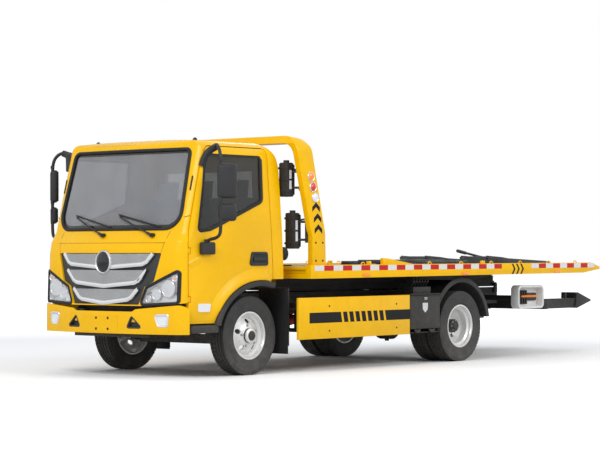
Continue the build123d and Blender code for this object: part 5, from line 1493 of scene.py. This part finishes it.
def gantry_dress():
    def lamp_rims():
        meshes = []
        for y, z in ((0.652, 1.961), (0.682, 1.857), (0.716, 1.753)):
            centre = at(0, y, z)
            meshes.append(lathe_mesh([(GANTRY_X - 0.002, 0.049), (GANTRY_X + 0.010, 0.049), (GANTRY_X + 0.014, 0.045),
                                      (GANTRY_X + 0.012, 0.041)], (0, centre.y, centre.z), "X", 32))
        return merged(*meshes)
    both_sides(lamp_rims, "gantry_lamp_rims", "chrome", "bed", "grille_silver", 50)
    for colour, y, z in (("amber", 0.652, 1.961), ("red_lens", 0.682, 1.857), ("clear_lens", 0.716, 1.753)):
        def lamp():
            centre = at(0, y, z)
            profile = [(GANTRY_X, 0.042), (GANTRY_X + 0.012, 0.0415), (GANTRY_X + 0.019, 0.034),
                       (GANTRY_X + 0.023, 0.018), (GANTRY_X + 0.024, 0.001)]
            return lathe_mesh(profile, (0, centre.y, centre.z), "X", 32)
        both_sides(lamp, "gantry_lamp_" + colour, colour, "bed", "lamp_lens", 60)

    def arrows():
        meshes = []
        for y, z in ((0.735, 1.610), (0.760, 1.500), (0.772, 1.390)):
            points = chevron(y, z, 0.118, 0.095, 0.50, (0, 1))
            meshes.append(prism_mesh([at(GANTRY_X, a, b) for a, b in points], (0.0012, 0, 0)))
        return merged(*meshes)
    both_sides(arrows, "gantry_chevrons", "black_tape", "bed", "yellow_paint", 0)

    def rivets():
        meshes = []
        for y, z in ((0.730, 1.300), (0.840, 1.300), (0.730, 1.120), (0.840, 1.120)):
            centre = at(0, y, z)
            meshes.append(lathe_mesh([(GANTRY_X, 0.011), (GANTRY_X + 0.004, 0.010), (GANTRY_X + 0.006, 0.001)],
                                     (0, centre.y, centre.z), "X", 16))
        return merged(*meshes)
    both_sides(rivets, "gantry_rivets", "rubber", "bed", "black_plastic")

    def cases():
        """Two dark ribbed cases on the post, each with three bands; their pale strips are made in strips()."""
        meshes = []
        for y, z0, z1 in ((0.595, 1.240, 1.600), (0.500, 1.760, 2.100)):
            meshes.append(box_mesh(at(0.884, y - 0.056, z0), at(0.996, y + 0.056, z1), 0.016, 4))
            for z in (z0 + 0.055, (z0 + z1) / 2, z1 - 0.055):
                meshes.append(box_mesh(at(0.879, y - 0.061, z - 0.011), at(1.001, y + 0.061, z + 0.011), 0.006, 2))
            for dy in (-0.050, 0.050):
                meshes.append(tube_mesh([at(0.999, y + dy, z0 + 0.02), at(0.999, y + dy, z1 - 0.02)], 0.006, 8))
            meshes.append(tube_mesh([at(0.94, y, z1 - 0.005), at(0.94, y, z1 + 0.025)], 0.030, 16))
            stay = [at(0.94, y, z1 - 0.09), at(1.0, y + 0.05, z1 - 0.07), at(1.065, y + 0.08, z1 - 0.06)]
            meshes.append(tube_mesh(stay, 0.010, 10))
            meshes.append(tube_mesh([at(0.94, y, z0 + 0.09), at(1.065, y + 0.08, z0 + 0.09)], 0.010, 10))
        return merged(*meshes)
    both_sides(cases, "gantry_cases", "plastic", "bed", "black_plastic")

    def strips():
        return merged(*[box_mesh(at(0.995, y - 0.020, z0 + 0.075), at(0.9985, y + 0.014, z1 - 0.075), 0.001, 1)
                        for y, z0, z1 in ((0.595, 1.240, 1.600), (0.500, 1.760, 2.100))])
    both_sides(strips, "gantry_case_strips", "clear_lens", "bed", "lamp_lens")


# Side guards, tool box and what hangs on the frame

GUARD_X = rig.box("side_guards")[1].x


def guard_dress():
    def band():
        return box_mesh(at(GUARD_X, 0.666, 0.492), at(GUARD_X + 0.0010, 2.334, 0.598))
    both_sides(band, "guard_band", "black_tape", "chassis", "yellow_paint", 0)

    def bars():
        meshes = []
        for k in range(8):
            y = 1.165 + 0.100 * k
            outline = [(y, 0.598), (y + 0.032, 0.598), (y + 0.055, 0.492), (y + 0.023, 0.492)]
            meshes.append(prism_mesh([at(GUARD_X + 0.001, a, b) for a, b in outline], (0.0008, 0, 0)))
        return merged(*meshes)
    both_sides(bars, "guard_bars", "bed_yellow", "chassis", "yellow_paint", 0)

    def rivets():
        meshes = []
        for y in (0.980, 2.100):
            for z in (0.660, 0.410):
                centre = at(0, y, z)
                meshes.append(lathe_mesh([(GUARD_X, 0.010), (GUARD_X + 0.004, 0.009), (GUARD_X + 0.005, 0.001)],
                                         (0, centre.y, centre.z), "X", 14))
        return merged(*meshes)
    both_sides(rivets, "guard_rivets", "rubber", "chassis", "black_plastic")


def tool_box_dress():
    lid_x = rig.box("tool_box_lid")[1].x
    shield = rounded_loop(((2.560, 0.660), (2.655, 0.660), (2.650, 0.590), (2.607, 0.555), (2.565, 0.590)),
                          (0.008, 0.008, 0.02, 0.01, 0.02), 4)
    finish_object(prism_mesh([at(lid_x, y, z) for y, z in shield], (0.002, 0, 0)), "tool_box_plate", "white_tape",
                  "tool_box_lid", "white_rim")
    latch = [box_mesh(at(lid_x, 2.585, 0.690), at(lid_x + 0.008, 2.635, 0.722), 0.003),
             tube_mesh([at(lid_x + 0.008, 2.592, 0.706), at(lid_x + 0.012, 2.628, 0.706)], 0.005, 8)]
    finish_object(merged(*latch), "tool_box_latch", "steel", "tool_box_lid", "bare_steel")
    edge = [box_mesh(at(lid_x - 0.001, 2.355, 0.395), at(lid_x + 0.003, 2.860, 0.402), 0.001, 1),
            box_mesh(at(lid_x - 0.001, 2.355, 0.725), at(lid_x + 0.003, 2.860, 0.732), 0.001, 1)]
    finish_object(merged(*edge), "tool_box_lid_folds", "black", "tool_box_lid", "frame_black")


LAMP_BOX_BACK = 0.947


def lamp_box_dress():
    face_x, back_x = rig.box("lamp_boxes")[1].x, LAMP_BOX_BACK

    def rim():
        loop = dense(rounded_loop(((4.490, 0.550), (5.020, 0.550), (5.020, 0.820), (4.490, 0.820)),
                                  (0.06, 0.06, 0.06, 0.06), 8), 0.05)
        rows = []
        for inwards, x in ((0.000, face_x - 0.006), (0.002, face_x - 0.001), (0.010, face_x), (0.024, face_x - 0.001),
                           (0.027, face_x - 0.006)):
            rows.append([at(x, y, z) for y, z in shrunk(loop, inwards)])
        return strip_mesh(rows + [rows[0]])
    both_sides(rim, "lamp_box_rim", "white", "chassis", "white_rim", 60)

    def slats():
        meshes = [box_mesh(at(back_x, 4.56 + 0.045 * k, 0.600), at(back_x + 0.030, 4.575 + 0.045 * k, 0.760), 0.003)
                  for k in range(5)]
        meshes.append(box_mesh(at(back_x, 4.76, 0.640), at(back_x + 0.022, 4.960, 0.730), 0.008))
        return merged(*meshes)
    both_sides(slats, "lamp_box_slats", "plastic", "chassis", "black_plastic")

    def lamps():
        meshes = []
        for k in range(7):
            centre = at(0, 4.66 + 0.045 * k, 0.690)
            meshes.append(lathe_mesh([(back_x + 0.018, 0.014), (back_x + 0.040, 0.013), (back_x + 0.046, 0.008),
                                      (back_x + 0.047, 0.001)], (0, centre.y, centre.z), "X", 16))
        return merged(*meshes)
    both_sides(lamps, "lamp_box_lamps", "amber", "chassis", "lamp_lens", 50)


def valve_levers():
    low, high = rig.box("valve_bank")
    rods, knobs = [], []
    count = 6
    for k in range(count):
        y = low.y + (high.y - low.y) * (k + 0.5) / count
        x = high.x - 0.02
        top = Vector((x + 0.050, y, high.z + 0.085))
        rods.append(tube_mesh([Vector((x, y, high.z - 0.01)), Vector((x + 0.012, y, high.z + 0.03)), top], 0.005, 8))
        knobs.append(lathe_mesh([(-0.018, 0.001), (-0.014, 0.010), (0.0, 0.013), (0.014, 0.010), (0.018, 0.001)],
                                tuple(top), "Z", 14))
    finish_object(merged(*rods), "valve_rods", "black", "chassis", "frame_black")
    finish_object(merged(*knobs), "valve_knobs", "plastic", "chassis", "black_plastic")


def frame_fittings():
    """Bolts along the rails."""
    def bolts():
        meshes = []
        y = -0.70
        while y < 4.80:
            for z in (0.650, 0.740):
                bolt = lathe_mesh([(0.415, 0.012), (0.423, 0.012), (0.424, 0.001)], (0, 0, 0), "X", 6)
                bolt.transform(Matrix.Translation(at(0, y, z)))
                meshes.append(bolt)
            y += 0.24
        return merged(*meshes)
    both_sides(bolts, "rail_bolts", "black", "chassis", "frame_black")


wheel_dress()
bed_dress()
gantry_dress()
guard_dress()
tool_box_dress()
lamp_box_dress()
valve_levers()
frame_fittings()


# Camera and light

CAMERA_PLACE = at(14.013, -14.833, 1.207)
CAMERA_AZIMUTH = math.radians(40.065)
CAMERA_PITCH = math.radians(-0.754)
CAMERA_ROLL = math.radians(-0.093)
CAMERA_LENS = 120.98


def make_camera():
    look = Vector((-math.sin(CAMERA_AZIMUTH) * math.cos(CAMERA_PITCH),
                   math.cos(CAMERA_AZIMUTH) * math.cos(CAMERA_PITCH), -math.sin(CAMERA_PITCH)))
    right = Vector((math.cos(CAMERA_AZIMUTH), math.sin(CAMERA_AZIMUTH), 0))
    up = right.cross(look)
    c, s = math.cos(CAMERA_ROLL), math.sin(CAMERA_ROLL)
    right, up = right * c + up * s, up * c - right * s
    data = bpy.data.cameras.new("camera")
    data.lens = CAMERA_LENS
    data.sensor_width = 36
    data.clip_end = 200
    camera = bpy.data.objects.new("camera", data)
    camera.matrix_world = Matrix.Translation(CAMERA_PLACE) @ Matrix((right, up, -look)).transposed().to_4x4()
    bpy.context.scene.collection.objects.link(camera)
    bpy.context.scene.camera = camera


FLOOR_NEAR, FLOOR_FAR = 7.0, 16.0
FLOOR_GAIN = (1.15, 2.2)


def make_floor():
    """A white floor that keeps the shadow; the camera sees it brighter the further it is."""
    bm = bmesh.new()
    bmesh.ops.create_grid(bm, x_segments=1, y_segments=1, size=60)
    mesh = mesh_from("floor", bm)
    material, tree, shader = new_material("pale floor")
    tree.nodes.remove(shader)
    spot = tree.nodes.new("ShaderNodeTexCoord")
    away = tree.nodes.new("ShaderNodeVectorMath")
    away.operation = "LENGTH"
    link(tree, spot.outputs["Object"], away.inputs[0])
    gain = tree.nodes.new("ShaderNodeMapRange")
    for name, value in zip(("From Min", "From Max", "To Min", "To Max"), (FLOOR_NEAR, FLOOR_FAR, *FLOOR_GAIN)):
        gain.inputs[name].default_value = value
    link(tree, away.outputs["Value"], gain.inputs["Value"])
    seen = tree.nodes.new("ShaderNodeLightPath").outputs["Is Camera Ray"]
    tone = math_node(tree, "MULTIPLY", seen, math_node(tree, "SUBTRACT", gain.outputs[0], 0.8))
    tone = math_node(tree, "ADD", tone, 0.8)
    diffuse = tree.nodes.new("ShaderNodeBsdfDiffuse")
    link(tree, tone, diffuse.inputs["Color"])
    link(tree, diffuse.outputs[0], tree.nodes["Material Output"].inputs["Surface"])
    mesh.materials.append(material)
    floor = bpy.data.objects.new("floor", mesh)
    bpy.context.scene.collection.objects.link(floor)
    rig.stage(floor)


def area_light(name, place, target, size, power):
    data = bpy.data.lights.new(name, "AREA")
    data.shape = "RECTANGLE"
    data.size, data.size_y = size
    data.energy = power
    lamp = bpy.data.objects.new(name, data)
    lamp.location = place
    lamp.rotation_euler = (Vector(target) - Vector(place)).to_track_quat("-Z", "Y").to_euler()
    bpy.context.scene.collection.objects.link(lamp)


def make_light():
    world = bpy.data.worlds.new("studio")
    bpy.context.scene.world = world
    world.use_nodes = True
    tree = world.node_tree
    background = tree.nodes["Background"]
    path = tree.nodes.new("ShaderNodeLightPath")
    seen = math_node(tree, "MAXIMUM", path.outputs["Is Camera Ray"], path.outputs["Is Transmission Ray"])
    seen = math_node(tree, "MAXIMUM", seen, path.outputs["Is Glossy Ray"])
    plain = tree.nodes.new("ShaderNodeBackground")
    plain.inputs["Color"].default_value = (1, 1, 1, 1)
    plain.inputs["Strength"].default_value = 1.0
    background.inputs["Color"].default_value = (0.93, 0.96, 1.0, 1)
    background.inputs["Strength"].default_value = 0.55
    blend = tree.nodes.new("ShaderNodeMixShader")
    link(tree, seen, blend.inputs[0])
    link(tree, background.outputs[0], blend.inputs[1])
    link(tree, plain.outputs[0], blend.inputs[2])
    link(tree, blend.outputs[0], tree.nodes["World Output"].inputs[0])
    area_light("key", (4, -15, 10), (0, -1, 1), (7, 5), 1150)
    area_light("side", (14, 2, 8), (0, 0, 1), (9, 5), 780)
    area_light("back", (-6, 12, 8), (0, 1, 1), (8, 4), 300)


make_camera()
make_floor()
make_light()
scene = bpy.context.scene
scene.view_settings.view_transform = "Standard"

with open("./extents.json", "w") as file:
    json.dump({"cad": CAD_BOX, "visual": [list(v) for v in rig.bounds()]}, file)
